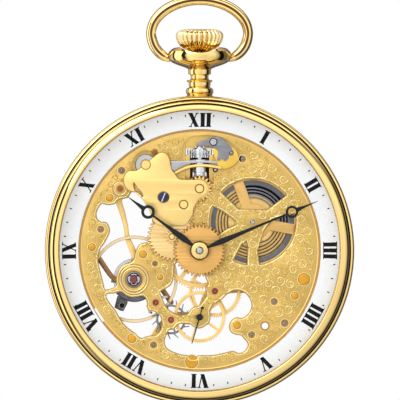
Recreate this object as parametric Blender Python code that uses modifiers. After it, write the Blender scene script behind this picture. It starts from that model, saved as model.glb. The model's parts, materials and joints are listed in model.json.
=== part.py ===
"""A skeletonised open-face pocket watch, hanging upright by its bow, dial towards -Y.

Lengths in the constants are millimetres; MM turns them into metres. A place on the movement is
written (x, z) from the hands' axis, seen from the front, and a level is (front, rear) along Y,
so a smaller number is nearer the crystal over the dial. The origin is the inside top of the bow.
"""

import math

import bmesh
import bpy

MM = 0.001
TURN = 2 * math.pi

# ---- driving dimensions -------------------------------------------------------------------
BOW_INNER_TOP = 37.4
CASE_R = 23.5
BAND_R = 23.1
DIAL_IN_R = 18.45
DIAL_OUT_R = 21.35
PLATE_R = 18.65
RING_STEPS = 54
ROUND_STEPS = 20
SMALL_STEPS = 10

# ---- places of the axes, from the hands' axis ----------------------------------------------
BARREL = (8.07, 4.32)
THIRD = (2.33, -6.21)
FOURTH = (0.0, -10.14)
ESCAPE = (-4.36, -10.57)
FORK = (-6.69, -7.93)
BALANCE = (-10.0, -4.42)
CENTRE = (0.0, 0.0)
MINUTE = (-4.2, 2.1)
INTERMEDIATE = (-2.425, 6.976)
SETTING = (0.0, 9.4)
CROWN_WHEEL = (0.0, 10.8)
YOKE_PIVOT = (-8.2, 13.05)
LEVER_PIVOT = (2.1, 16.5)
CLICK_PIVOT = (12.2, 11.5)
COVER_SCREW = (-5.5, 8.1)
COCK_FOOT = (-12.4, 9.2)
FORK_FOOT = (-6.6, -5.0)
TRAIN_FEET = ((13.5, -9.5), (-6.9, -14.0))
BARREL_FEET = ((-4.6, 15.6), (16.3, -1.95))

# ---- levels along Y, (front, rear) ----------------------------------------------------------
PLATE = (-1.5, 0.0)
PLATE_SKIN_REAR = -1.15
KEYLESS_POCKET_REAR = -0.95
KEYLESS = (-1.42, -1.04)
LEVER = (-1.88, -1.55)
COVER = (-2.25, -1.97)
MOTION = (-1.85, -1.62)
HOUR_DISC = (-2.55, -2.3)
HOUR_HAND = (-3.65, -3.5)
MINUTE_HAND = (-4.05, -3.9)
SECONDS_HAND = (-2.62, -2.47)
DIAL = (-2.2, -1.55)
DRUM = (-1.05, 0.6)
DRUM_TEETH = (0.1, 0.5)
LID = (-1.05, -0.85)
SPRING = (-0.75, 0.25)
CENTRE_WHEEL = (0.75, 0.95)
THIRD_WHEEL = (1.25, 1.45)
FOURTH_WHEEL = (0.3, 0.5)
ESCAPE_WHEEL = (0.9, 1.1)
FORK_LEVEL = (0.9, 1.1)
PALLET_BRIDGE = (1.2, 1.5)
BARREL_BRIDGE = (1.42, 1.9)
WINDING_WHEELS = (2.0, 2.4)
TRAIN_BRIDGE = (2.3, 2.95)
BALANCE_RIM = (1.6, 2.2)
HAIRSPRING = (2.28, 2.4)
COCK = (2.55, 3.2)
REGULATOR = (3.25, 3.5)

# ---- gears: teeth; the pitch radii follow from the distances --------------------------------
TEETH = {
    "barrel": 78, "centre_pinion": 12, "centre": 80, "third_pinion": 10, "third": 75,
    "fourth_pinion": 10, "fourth": 80, "escape_pinion": 8, "escape": 15,
    "cannon": 12, "minute": 36, "minute_pinion": 10, "hour": 40,
    "intermediate": 17, "setting": 18, "crown_wheel": 36, "ratchet": 52, "winding": 16,
}
ADDENDUM = 1.05  # of a module
DEDENDUM = 1.3
ESCAPE_TIP_R = 3.05
STONE_SPREAD = math.radians(30)  # each stone's angle from the line of centres, at the escape axis

# ---- winding stem, along Z -------------------------------------------------------------------
STEM_R = 0.5
STEM_END = 9.95
STEM_TOP = 31.9
WINDING_PINION = (14.5, 15.4)
SLIDING_PINION = (10.95, 13.85)
YOKE_GROOVE = (13.0, 13.7)
LEVER_GROOVE = (16.15, 16.75)
MECHANISM_WINDOW = (-2.15, 2.15, 10.12, 15.85)  # x low, x high, z low, z high

# ---- bow: (x, z, wire radius) down the right-hand half, below the arch ------------------------
BOW_PIVOT_Z = 29.25
BOW_CENTRE_Z = 33.0
BOW_HALF_WIDTH = 7.4
BOW_UP = 5.14
WIRE_R = 0.79
WIRE_TOP_R = 0.74
BOW_FOOT = [(7.25, 32.1, 0.79), (6.95, 31.25, 0.79), (6.5, 30.55, 0.77), (5.95, 29.98, 0.7), (5.5, 29.58, 0.6),
            (5.18, 29.33, 0.5), (4.9, 29.25, 0.5), (3.95, 29.25, 0.5)]

FACE_ON = (math.pi / 2, 0, 0)  # local x, y become world x, z
ALONG_Y = (-math.pi / 2, 0, 0)  # local z becomes world y
ALONG_Z = (0, 0, 0)


# ---- scene ------------------------------------------------------------------------------------
for old in list(bpy.data.objects):
    bpy.data.objects.remove(old)

parts = bpy.data.collections.new("pocket_watch")
cutters = bpy.data.collections.new("cutters")
bpy.context.scene.collection.children.link(parts)
bpy.context.scene.collection.children.link(cutters)

hand_axis = bpy.data.objects.new("hand_axis", None)
hand_axis.location = (0, 0, -BOW_INNER_TOP * MM)
parts.objects.link(hand_axis)


def material(name, colour, roughness, metallic, alpha=1.0):
    mat = bpy.data.materials.new(name)
    mat.use_nodes = True
    shader = mat.node_tree.nodes["Principled BSDF"]
    shader.inputs["Base Color"].default_value = (*colour, 1)
    shader.inputs["Roughness"].default_value = roughness
    shader.inputs["Metallic"].default_value = metallic
    shader.inputs["Alpha"].default_value = alpha
    return mat


POLISHED_GOLD = material("polished_gold", (0.83, 0.61, 0.25), 0.12, 1)
ENGRAVED_GOLD = material("engraved_gold", (0.86, 0.62, 0.22), 0.32, 1)
SATIN_GOLD = material("satin_gold", (0.88, 0.66, 0.30), 0.38, 1)
ROSE_GOLD = material("matte_hour_gold", (0.80, 0.50, 0.22), 0.55, 1)
STEEL = material("steel", (0.60, 0.61, 0.63), 0.25, 1)
GREY_STEEL = material("grey_steel", (0.36, 0.37, 0.40), 0.4, 1)
BLUED = material("blued_steel", (0.06, 0.08, 0.16), 0.25, 1)
BLACK = material("black_steel", (0.03, 0.035, 0.045), 0.3, 0.6)
ENAMEL = material("white_enamel", (0.90, 0.91, 0.93), 0.35, 0)
RUBY = material("ruby", (0.45, 0.02, 0.08), 0.08, 0)
GLASS = material("crystal_glass", (1, 1, 1), 0.02, 0, 0.15)


# ---- building blocks ----------------------------------------------------------------------------
def place(name, mesh, at, rotation, mat):
    """A new part, `at` = (x, y, z) in millimetres from the hands' axis."""
    obj = bpy.data.objects.new(name, mesh)
    parts.objects.link(obj)
    obj.parent = hand_axis
    obj.location = [v * MM for v in at]
    obj.rotation_euler = rotation
    mesh.materials.clear()
    mesh.materials.append(mat)
    return obj


def cleaned(mesh, smooth):
    bm = bmesh.new()
    bm.from_mesh(mesh)
    bmesh.ops.remove_doubles(bm, verts=bm.verts, dist=1e-8)
    bmesh.ops.recalc_face_normals(bm, faces=bm.faces)
    bm.to_mesh(mesh)
    bm.free()
    if smooth:
        mesh.shade_smooth()
        mesh.set_sharp_from_angle(angle=math.radians(35))


def flat(name, loops, level, at, mat, smooth=False):
    """A plate cut from a flat outline: loops of (x, z) from `at`, the first outside, the rest holes."""
    curve = bpy.data.curves.new(name, "CURVE")
    curve.dimensions = "2D"
    curve.fill_mode = "BOTH"
    curve.extrude = (level[1] - level[0]) / 2 * MM
    for loop in loops:
        spline = curve.splines.new("POLY")
        spline.points.add(len(loop) - 1)
        spline.use_cyclic_u = True
        for point, (x, z) in zip(spline.points, loop):
            point.co = (x * MM, z * MM, 0, 1)
    drawn = bpy.data.objects.new(name + "_outline", curve)
    bpy.context.scene.collection.objects.link(drawn)
    mesh = bpy.data.meshes.new_from_object(drawn.evaluated_get(bpy.context.evaluated_depsgraph_get()))
    bpy.data.objects.remove(drawn)
    bpy.data.curves.remove(curve)
    cleaned(mesh, smooth)
    return place(name, mesh, (at[0], (level[0] + level[1]) / 2, at[1]), FACE_ON, mat)


def turned(name, profile, at, mat, along="Y", steps=ROUND_STEPS):
    """A turned solid: profile (radius, height) along its axis; closed through the axis or as a ring."""
    area = sum(r0 * h1 - r1 * h0 for (r0, h0), (r1, h1) in zip(profile, profile[1:] + profile[:1]))
    points = profile if area < 0 else profile[::-1]
    ring = min(r for r, _ in profile) > 0
    mesh = bpy.data.meshes.new(name)
    verts = [(r * MM, 0, h * MM) for r, h in points]
    edges = [(i, i + 1) for i in range(len(points) - 1)]
    if ring:
        edges.append((len(points) - 1, 0))
    mesh.from_pydata(verts, edges, [])
    rotation = ALONG_Y if along == "Y" else ALONG_Z
    origin = (at[0], 0, at[1]) if along == "Y" else (at[0], at[1], 0)
    obj = place(name, mesh, origin, rotation, mat)
    screw = obj.modifiers.new("turn", "SCREW")
    screw.axis = "Z"
    screw.steps = screw.render_steps = steps
    screw.use_merge_vertices = True
    screw.merge_threshold = 1e-8
    screw.use_smooth_shade = True
    return obj


def open_profile(profile):
    """A profile whose two ends lie on the axis, turned so that it starts at the top."""
    return profile if profile[0][1] > profile[-1][1] else profile[::-1]


def combine(target, operation, helpers):
    """Joins or cuts with helper solids, which are kept in the cutters collection."""
    for helper in helpers:
        parts.objects.unlink(helper)
        cutters.objects.link(helper)
        helper.hide_render = True
        helper.display_type = "WIRE"
        boolean = target.modifiers.new(helper.name, "BOOLEAN")
        boolean.operation = operation
        boolean.solver = "EXACT"
        boolean.object = helper
    return target


def join(target, *helpers):
    return combine(target, "UNION", helpers)


def cut(target, *helpers):
    return combine(target, "DIFFERENCE", helpers)


# ---- outlines ------------------------------------------------------------------------------------
def polar(radius, angle, centre=(0.0, 0.0)):
    return centre[0] + radius * math.cos(angle), centre[1] + radius * math.sin(angle)


def circle(radius, steps=SMALL_STEPS, centre=(0.0, 0.0)):
    return [polar(radius, TURN * i / steps, centre) for i in range(steps)]


def arc(radius, start, end, steps, centre=(0.0, 0.0)):
    return [polar(radius, start + (end - start) * i / steps, centre) for i in range(steps + 1)]


def shifted(loop, by):
    return [(x - by[0], z - by[1]) for x, z in loop]


def ribbon(path, half_widths, end_steps=5):
    """The outline of a band along a path, with a half width at each point and round ends."""
    left, right = [], []
    last = len(path) - 1
    for i, (point, half) in enumerate(zip(path, half_widths)):
        before, after = path[max(i - 1, 0)], path[min(i + 1, last)]
        heading = math.atan2(after[1] - before[1], after[0] - before[0])
        left.append(polar(half, heading + math.pi / 2, point))
        right.append(polar(half, heading - math.pi / 2, point))
    start = math.atan2(path[1][1] - path[0][1], path[1][0] - path[0][0])
    end = math.atan2(path[last][1] - path[last - 1][1], path[last][0] - path[last - 1][0])
    nose = arc(half_widths[last], end + math.pi / 2, end - math.pi / 2, end_steps, path[last])
    tail = arc(half_widths[0], start - math.pi / 2, start - 1.5 * math.pi, end_steps, path[0])
    return left[1:-1] + nose + right[1:-1][::-1] + tail


def toothed(teeth, tip, root, first):
    """A wheel's outline: pointed teeth, the first centred on the angle `first`."""
    return [polar(tip if k % 2 == 0 else root, first + k * math.pi / teeth) for k in range(2 * teeth)]


def leaved(leaves, tip, root, first, root_share=0.2, tip_share=0.1):
    """A pinion's outline: blunt leaves, the first centred on the angle `first`."""
    pitch = TURN / leaves
    points = []
    for k in range(leaves):
        middle = first + k * pitch
        points += [
            polar(root, middle - root_share * pitch), polar(tip, middle - tip_share * pitch),
            polar(tip, middle + tip_share * pitch), polar(root, middle + root_share * pitch),
        ]
    return points


def spoke_windows(count, inner, outer, half_width, first, steps=5):
    """The openings between `count` straight-sided spokes, one spoke at the angle `first`."""
    loops = []
    for k in range(count):
        a, b = first + TURN * k / count, first + TURN * (k + 1) / count
        wide, narrow = math.asin(half_width / outer), math.asin(half_width / inner)
        loops.append(arc(outer, a + wide, b - wide, steps) + arc(inner, b - narrow, a + narrow, max(steps - 2, 1)))
    return loops


# ---- gear geometry ---------------------------------------------------------------------------------
def distance(p, q):
    return math.hypot(q[0] - p[0], q[1] - p[1])


def module(p, q, teeth_p, teeth_q):
    return 2 * distance(p, q) / (teeth_p + teeth_q)


def meshing_phase(p, q, teeth_p, teeth_q, first_p):
    """The angle of a tooth of the gear at q that meshes with the gear at p, whose tooth is at first_p."""
    line = math.atan2(q[1] - p[1], q[0] - p[0])
    gap = line + math.pi - teeth_p / teeth_q * (first_p - line)
    return gap + math.pi / teeth_q


M_BARREL = module(BARREL, CENTRE, TEETH["barrel"], TEETH["centre_pinion"])
M_CENTRE = module(CENTRE, THIRD, TEETH["centre"], TEETH["third_pinion"])
M_THIRD = module(THIRD, FOURTH, TEETH["third"], TEETH["fourth_pinion"])
M_FOURTH = module(FOURTH, ESCAPE, TEETH["fourth"], TEETH["escape_pinion"])
M_MINUTE = module(CENTRE, MINUTE, TEETH["cannon"], TEETH["minute"])
M_HOUR = module(CENTRE, MINUTE, TEETH["hour"], TEETH["minute_pinion"])
M_WINDING = module(CROWN_WHEEL, BARREL, TEETH["crown_wheel"], TEETH["ratchet"])

PHASE = {"barrel": 0.0, "centre": 0.0, "third": 0.0, "fourth": 0.0, "cannon": 0.0, "hour": 0.0, "crown_wheel": 0.0}
PHASE["centre_pinion"] = meshing_phase(BARREL, CENTRE, TEETH["barrel"], TEETH["centre_pinion"], PHASE["barrel"])
PHASE["third_pinion"] = meshing_phase(CENTRE, THIRD, TEETH["centre"], TEETH["third_pinion"], PHASE["centre"])
PHASE["fourth_pinion"] = meshing_phase(THIRD, FOURTH, TEETH["third"], TEETH["fourth_pinion"], PHASE["third"])
PHASE["escape_pinion"] = meshing_phase(FOURTH, ESCAPE, TEETH["fourth"], TEETH["escape_pinion"], PHASE["fourth"])
PHASE["minute"] = meshing_phase(CENTRE, MINUTE, TEETH["cannon"], TEETH["minute"], PHASE["cannon"])
PHASE["minute_pinion"] = meshing_phase(CENTRE, MINUTE, TEETH["hour"], TEETH["minute_pinion"], PHASE["hour"])
PHASE["intermediate"] = meshing_phase(
    MINUTE, INTERMEDIATE, TEETH["minute"], TEETH["intermediate"], PHASE["minute"])
PHASE["setting"] = meshing_phase(
    INTERMEDIATE, SETTING, TEETH["intermediate"], TEETH["setting"], PHASE["intermediate"])
PHASE["ratchet"] = meshing_phase(
    CROWN_WHEEL, BARREL, TEETH["crown_wheel"], TEETH["ratchet"], PHASE["crown_wheel"])


def radii(name, mod):
    pitch = mod * TEETH[name] / 2
    return pitch + ADDENDUM * mod, pitch - DEDENDUM * mod


def wheel_outline(name, mod):
    tip, root = radii(name, mod)
    return toothed(TEETH[name], tip, root, PHASE[name])


def leaf_outline(name, mod):
    tip, root = radii(name, mod)
    return leaved(TEETH[name], tip, root, PHASE[name])


# ---- case ---------------------------------------------------------------------------------------------
def build_case():
    band = turned("case_middle", [
        (BAND_R - 0.15, -2.55), (BAND_R, -1.2), (BAND_R, 1.2), (BAND_R - 0.15, 2.55),
        (18.85, 2.55), (18.85, -1.4), (21.55, -1.4), (21.55, -2.55),
    ], (0, 0), POLISHED_GOLD, steps=RING_STEPS)
    bore = turned("pendant_bore", [(0, 25), (1.3, 25), (1.3, 17), (0, 17)], (0, 0), STEEL, "Z", ROUND_STEPS)
    cut(band, bore)
    bezel = [
        (21.4, -2.65), (23.25, -2.65), (CASE_R, -3.1), (CASE_R, -3.5), (23.0, -4.1), (22.75, -4.1),
        (22.3, -4.75), (21.35, -5.0), (21.35, -4.72), (21.8, -4.68), (21.8, -3.9), (21.4, -3.9),
    ]
    turned("front_bezel", bezel, (0, 0), POLISHED_GOLD, steps=RING_STEPS)
    back = [
        (21.4, 2.65), (23.25, 2.65), (CASE_R, 3.1), (CASE_R, 3.5), (23.0, 4.4), (22.6, 5.0),
        (21.35, 5.0), (21.35, 4.72), (21.8, 4.68), (21.8, 3.9), (21.4, 3.9),
    ]
    turned("back_bezel", back, (0, 0), POLISHED_GOLD, steps=RING_STEPS)
    turned("front_crystal", [
        (0, -4.75), (12, -4.58), (21.72, -3.98), (21.72, -4.6), (21.2, -4.66), (16, -5.12), (8, -5.35), (0, -5.42),
    ], (0, 0), GLASS, steps=RING_STEPS // 2)
    turned("back_crystal", [(0, 4.0), (21.72, 4.0), (21.72, 4.6), (0, 4.6)], (0, 0), GLASS, steps=RING_STEPS // 2)
    turned("chapter_ring", [
        (DIAL_IN_R, DIAL[0]), (DIAL_OUT_R, DIAL[0]), (DIAL_OUT_R, DIAL[1]), (DIAL_IN_R, DIAL[1]),
    ], (0, 0), ENAMEL, steps=RING_STEPS)


def build_pendant_and_bow():
    pendant = turned("pendant", [
        (0.65, 19.4), (1.24, 19.4), (1.24, 23.3), (2.35, 23.5), (2.2, 24.1), (2.1, 24.9), (1.9, 25.2), (2.0, 25.7),
        (1.6, 26.2), (1.98, 26.8), (2.0, 27.1), (3.2, 27.6), (4.35, 28.5), (4.7, 29.4), (4.6, 30.0),
        (4.1, 30.8), (3.95, 30.8), (3.4, 30.0), (2.9, 29.7), (0.65, 29.7),
    ], (0, 0), POLISHED_GOLD, "Z", 20)
    for side in (-1, 1):
        pit = turned(f"bow_pit_{side}", [(0, 8), (0.62, 8), (0.62, 3.75), (0, 3.75)], (0, 0), STEEL, "Z", SMALL_STEPS)
        pit.location = (0, 0, BOW_PIVOT_Z * MM)
        pit.rotation_euler = (0, side * math.pi / 2, 0)
        cut(pendant, pit)
    build_bow()


def build_bow():
    """A half loop of wire, thick at the crown of the loop, whose ends turn in to sit in the pendant."""
    curve = bpy.data.curves.new("bow", "CURVE")
    curve.dimensions = "3D"
    curve.bevel_depth = 1.0 * MM
    curve.bevel_resolution = 2
    curve.use_fill_caps = True
    spline = curve.splines.new("POLY")
    arch = 9
    half = []
    for i in range(arch + 1):
        up = math.pi / 2 * (1 - i / arch)
        thick = WIRE_R + (WIRE_TOP_R - WIRE_R) * math.sin(up) ** 3
        half.append((BOW_HALF_WIDTH * math.cos(up), BOW_CENTRE_Z + BOW_UP * math.sin(up), thick))
    half += BOW_FOOT
    whole = [(-x, z, r) for x, z, r in half[:0:-1]] + half
    spline.points.add(len(whole) - 1)
    for point, (x, z, r) in zip(spline.points, whole):
        point.co = (x * MM, 0, (z - BOW_PIVOT_Z) * MM, 1)
        point.radius = r
    drawn = bpy.data.objects.new("bow_wire", curve)
    bpy.context.scene.collection.objects.link(drawn)
    mesh = bpy.data.meshes.new_from_object(drawn.evaluated_get(bpy.context.evaluated_depsgraph_get()))
    bpy.data.objects.remove(drawn)
    cleaned(mesh, True)
    place("bow", mesh, (0, 0, BOW_PIVOT_Z), ALONG_Z, POLISHED_GOLD)


# ---- crown and stem -----------------------------------------------------------------------------------
def build_crown():
    flutes = 22
    profile = [(30.15, 1.9, 0), (30.5, 2.3, 0.3), (31.4, 3.15, 1), (32.5, 3.68, 1), (33.2, 3.35, 1), (33.6, 2.6, 0.2)]
    bm = bmesh.new()
    rings = []
    for z, radius, depth in profile:
        ring = []
        for i in range(2 * flutes):
            r = radius - (0.28 * depth if i % 2 else 0)
            x, y = polar(r, TURN * i / (2 * flutes))
            ring.append(bm.verts.new((x * MM, y * MM, z * MM)))
        rings.append(ring)
    for low, high in zip(rings, rings[1:]):
        for i in range(2 * flutes):
            j = (i + 1) % (2 * flutes)
            bm.faces.new((low[i], low[j], high[j], high[i]))
    bm.faces.new(rings[0][::-1])
    dome = bm.verts.new((0, 0, 33.75 * MM))
    for i in range(2 * flutes):
        bm.faces.new((rings[-1][i], rings[-1][(i + 1) % (2 * flutes)], dome))
    mesh = bpy.data.meshes.new("crown")
    bm.to_mesh(mesh)
    bm.free()
    cleaned(mesh, False)
    crown = place("crown", mesh, (0, 0, 0), ALONG_Z, POLISHED_GOLD)
    bore = turned("crown_bore", [(0, 32), (0.56, 32), (0.56, 29), (0, 29)], (0, 0), STEEL, "Z", SMALL_STEPS)
    cut(crown, bore)
    turned("winding_stem", [
        (0, STEM_TOP - 0.05), (STEM_R, STEM_TOP - 0.05), (STEM_R, LEVER_GROOVE[1]), (0.28, LEVER_GROOVE[1]),
        (0.28, LEVER_GROOVE[0]), (STEM_R, LEVER_GROOVE[0]), (STEM_R, 10.9), (0.32, 10.8), (0.32, STEM_END),
        (0, STEM_END),
    ], (0, 0), STEEL, "Z", SMALL_STEPS)


def build_stem_pinions():
    bore = STEM_R + 0.05
    low, high = WINDING_PINION
    body = turned("winding_pinion", [
        (bore, high + 0.25), (0.95, high + 0.25), (0.95, high), (1.45, high), (1.45, low - 0.4), (bore, low - 0.4),
    ], (0, 0), STEEL, "Z", 20)
    rim = flat("winding_pinion_teeth", [toothed(TEETH["winding"], 1.88, 1.5, 0.0)], (low, high), (0, 0), STEEL)
    rim.rotation_euler = ALONG_Z
    rim.location = (0, 0, (low + high) / 2 * MM)
    hole = turned("winding_pinion_bore", [(0, 17), (bore, 17), (bore, 13), (0, 13)], (0, 0), STEEL, "Z", 20)
    cut(join(body, rim), hole)
    z0, z1 = SLIDING_PINION
    turned("sliding_pinion", [
        (bore, z1), (1.35, z1), (1.35, YOKE_GROOVE[1]), (0.92, YOKE_GROOVE[1]), (0.92, YOKE_GROOVE[0]),
        (1.22, YOKE_GROOVE[0]), (1.22, z0 + 0.3), (1.05, z0), (bore, z0),
    ], (0, 0), STEEL, "Z", 20)


# ---- mainplate --------------------------------------------------------------------------------------
UPPER_LEFT_OPENING = [
    (-15.0, 7.1), (-15.7, 5.9), (-15.5, 4.8), (-15.0, 4.4), (-14.2, 4.2), (-13.75, 3.1), (-14.2, 1.7), (-15.1, 0.2),
    (-15.5, -1.3), (-15.2, -2.9), (-14.7, -5.1), (-14.3, -6.05), (-12.7, -5.45), (-12.65, -4.1), (-12.2, -2.9),
    (-11.2, -2.05), (-10.2, -1.7), (-9.85, -0.6), (-9.5, 0.5), (-8.7, 1.1), (-7.4, 1.7), (-6.9, 3.2), (-7.2, 5.0),
    (-7.9, 7.2), (-9.3, 8.8), (-10.5, 8.7), (-11.2, 7.95), (-12.4, 7.8), (-13.2, 7.1), (-14.2, 7.0),
]
LOWER_LEFT_OPENING = [
    (-13.9, -6.7), (-13.0, -6.4), (-12.1, -6.3), (-11.3, -6.9), (-10.0, -7.2), (-8.9, -6.9), (-8.3, -7.3),
    (-8.0, -8.1), (-7.9, -9.0), (-7.0, -9.2), (-6.0, -10.0), (-5.8, -11.1), (-6.2, -12.4), (-7.2, -13.0),
    (-8.8, -13.4), (-9.8, -12.7), (-11.4, -11.4), (-12.8, -9.4), (-13.7, -8.2),
]
BOTTOM_OPENING = [
    (-4.8, -12.2), (-4.0, -12.0), (-3.3, -11.3), (-1.9, -11.15), (-1.1, -11.4), (-0.3, -11.75), (0.8, -11.55),
    (1.5, -10.7), (1.6, -9.7), (1.7, -8.9), (2.3, -8.05), (3.3, -7.4), (4.0, -6.8), (4.7, -6.3), (5.6, -6.05),
    (6.7, -6.3), (7.6, -7.2), (7.95, -8.5), (7.5, -9.6), (6.5, -10.3), (5.4, -10.35), (4.7, -11.0), (4.6, -12.0),
    (5.3, -12.75), (6.4, -12.95), (7.3, -14.1), (7.0, -15.2), (5.9, -15.65), (5.0, -15.4), (3.5, -15.8),
    (0.5, -16.05), (-2.6, -15.95), (-4.5, -15.3), (-5.4, -14.2), (-5.2, -13.1),
]
CENTRE_OPENING = [
    (-3.0, -1.5), (-3.7, -2.0), (-3.95, -3.3), (-4.3, -4.9), (-5.1, -5.75), (-6.0, -6.2), (-5.8, -7.2),
    (-5.2, -8.5), (-4.3, -9.35), (-3.2, -9.85), (-2.0, -9.8), (-1.4, -9.1), (-0.6, -8.6), (0.3, -8.1),
    (1.0, -7.1), (0.9, -6.1), (1.2, -5.2), (1.0, -4.2), (0.6, -3.2), (-0.9, -3.2), (-2.2, -2.4),
]
SPRING_WINDOWS = [  # angles at the barrel axis between which each opens, and its inner radius
    (37, 137, 2.7), (-82, 15, 2.5), (-119, -98, 3.4), (160, 202, 2.9),
]
WINDOW_R = 6.6
PLATE_HOLES = [  # (place, radius): dial-foot, screw and steady-pin holes that go through
    ((9.96, -11.5), 0.58), ((-12.08, 9.41), 0.5), (COVER_SCREW, 0.42), (LEVER_PIVOT, 0.4), (BARREL, 0.55),
    (CENTRE, 0.6), (FOURTH, 0.3), (THIRD, 0.62), (ESCAPE, 0.62), (FORK, 0.2), (BALANCE, 1.3), ((-6.82, 14.98), 0.4),
]
STUDS = [(MINUTE, 0.42, -2.75), (INTERMEDIATE, 0.6, COVER[0]), (SETTING, 0.6, COVER[0])]
KEYLESS_POCKET = [
    (-10.6, 13.0), (-9.8, 14.6), (-8.2, 15.2), (-6.6, 14.7), (-5.6, 13.9), (-3.6, 14.1), (-2.5, 15.0), (-2.5, 16.4),
    (-1.4, 17.3), (2.0, 17.6), (4.6, 16.6), (6.0, 14.9), (5.9, 13.4), (4.6, 12.3), (3.4, 11.6), (-2.0, 11.5),
    (-5.0, 10.9), (-8.5, 11.1), (-10.3, 11.8),
]


def build_mainplate():
    windows = [
        arc(WINDOW_R, math.radians(a), math.radians(b), max(2, (b - a) // 12), BARREL)
        + arc(inner, math.radians(b), math.radians(a), max(1, (b - a) // 30), BARREL)
        for a, b, inner in SPRING_WINDOWS
    ]
    x0, x1, z0, z1 = MECHANISM_WINDOW
    window = [(x0, z0), (x1, z0), (x1, z1), (x0, z1)]
    openings = [UPPER_LEFT_OPENING, LOWER_LEFT_OPENING, BOTTOM_OPENING, CENTRE_OPENING, window]
    holes = [circle(r, SMALL_STEPS, at) for at, r in PLATE_HOLES]
    plate = flat("mainplate", [circle(PLATE_R, RING_STEPS)] + openings + windows + holes, PLATE, (0, 0), ENGRAVED_GOLD)
    drum_tip = radii("barrel", M_BARREL)[0]
    barrel_pocket = turned("barrel_pocket", [
        (0, 1), (drum_tip + 0.2, 1), (drum_tip + 0.2, PLATE_SKIN_REAR), (0, PLATE_SKIN_REAR),
    ], BARREL, STEEL, steps=48)
    pinion_pocket = turned("pinion_pocket", [(0, 1), (1.75, 1), (1.75, -0.25), (0, -0.25)], CENTRE, STEEL)
    keyless_pocket = flat("keyless_pocket", [KEYLESS_POCKET], (-3, KEYLESS_POCKET_REAR), (0, 0), STEEL)
    stem_channel = turned("stem_channel", [(0, 20), (0.65, 20), (0.65, 9.7), (0, 9.7)], (0, 0), STEEL, "Z", 16)
    pin_slot = flat("pin_slot", [[(-0.15, 16.1), (0.8, 16.1), (0.8, 17.75), (-0.15, 17.75)]], (-2, -0.3), (0, 0), STEEL)
    cut(plate, barrel_pocket, pinion_pocket, keyless_pocket, stem_channel, pin_slot)
    studs = [
        turned(f"stud_{i}", [(0, top), (r, top), (r, -0.5), (0, -0.5)], at, STEEL, steps=16)
        for i, (at, r, top) in enumerate(STUDS)
    ]
    studs.append(turned("yoke_stud", [
        (0, -1.8), (1.6, -1.8), (1.6, -1.5), (0.68, -1.5), (0.68, -0.5), (0, -0.5),
    ], YOKE_PIVOT, STEEL, steps=18))
    join(plate, *studs)


# ---- going train --------------------------------------------------------------------------------------
def wheel_and_arbor(name, at, wheel, wheel_level, windows, arbor, mat, pinion=None, pinion_level=None):
    """A crossed-out wheel on its turned arbor, with its pinion, as one riveted piece."""
    disc = flat(name, [wheel] + windows, wheel_level, at, mat)
    helpers = [turned(name + "_arbor", arbor, at, STEEL, steps=SMALL_STEPS)]
    if pinion:
        helpers.append(flat(name + "_leaves", [pinion], pinion_level, at, STEEL))
    return join(disc, *helpers)


def arbor_profile(front, rear, body, pivot, body_r=0.28, pivot_r=0.14):
    return [(0, front), (pivot_r, front), (pivot_r, body[0]), (body_r, body[0]), (body_r, body[1]),
            (pivot_r, body[1]), (pivot_r, rear), (0, rear)] if pivot else []


def build_barrel():
    tip, root = radii("barrel", M_BARREL)
    wall = 7.35
    drum = turned("barrel_drum", [
        (0.72, DRUM[1]), (wall, DRUM[1]), (wall, DRUM[0]), (6.9, DRUM[0]), (6.9, 0.4), (0.72, 0.4),
    ], BARREL, SATIN_GOLD, steps=48)
    teeth = flat("barrel_teeth", [wheel_outline("barrel", M_BARREL), circle(7.1, 48)], DRUM_TEETH, BARREL, SATIN_GOLD)
    join(drum, teeth)
    flat("barrel_lid", [circle(6.85, 48), circle(0.62, SMALL_STEPS)] + spoke_windows(
        3, 2.5, 6.3, 0.75, math.radians(112), 6), LID, BARREL, SATIN_GOLD)
    build_mainspring()
    turned("barrel_arbor", [
        (0, -1.45), (0.45, -1.45), (0.45, -0.78), (1.5, -0.78), (1.5, 0.3), (0.6, 0.3), (0.6, 2.3), (0, 2.3),
    ], BARREL, STEEL, steps=16)
    ratchet_tip, ratchet_root = radii("ratchet", M_WINDING)
    flat("ratchet_wheel", [toothed(TEETH["ratchet"], ratchet_tip, ratchet_root, PHASE["ratchet"]),
                           circle(0.68, SMALL_STEPS)], WINDING_WHEELS, BARREL, SATIN_GOLD)
    screw_head("ratchet_screw", BARREL, 1.5, (2.45, 2.85), 0.3, 2.33, STEEL)


def build_mainspring():
    """The packed outer turns as a ring, and the free turns as a spiral strip joined to it."""
    ring = turned("mainspring", [
        (5.55, SPRING[0]), (6.75, SPRING[0]), (6.75, SPRING[1]), (5.55, SPRING[1]),
    ], BARREL, GREY_STEEL, steps=40)
    turns, start, end, half = 3.5, 2.4, 5.7, 0.07
    steps = int(turns * 12)
    spiral = [(start + (end - start) * i / steps, TURN * turns * i / steps) for i in range(steps + 1)]
    strip = [polar(r + half, a) for r, a in spiral] + [polar(r - half, a) for r, a in spiral[::-1]]
    join(ring, flat("mainspring_turns", [strip], SPRING, BARREL, GREY_STEEL))


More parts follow.
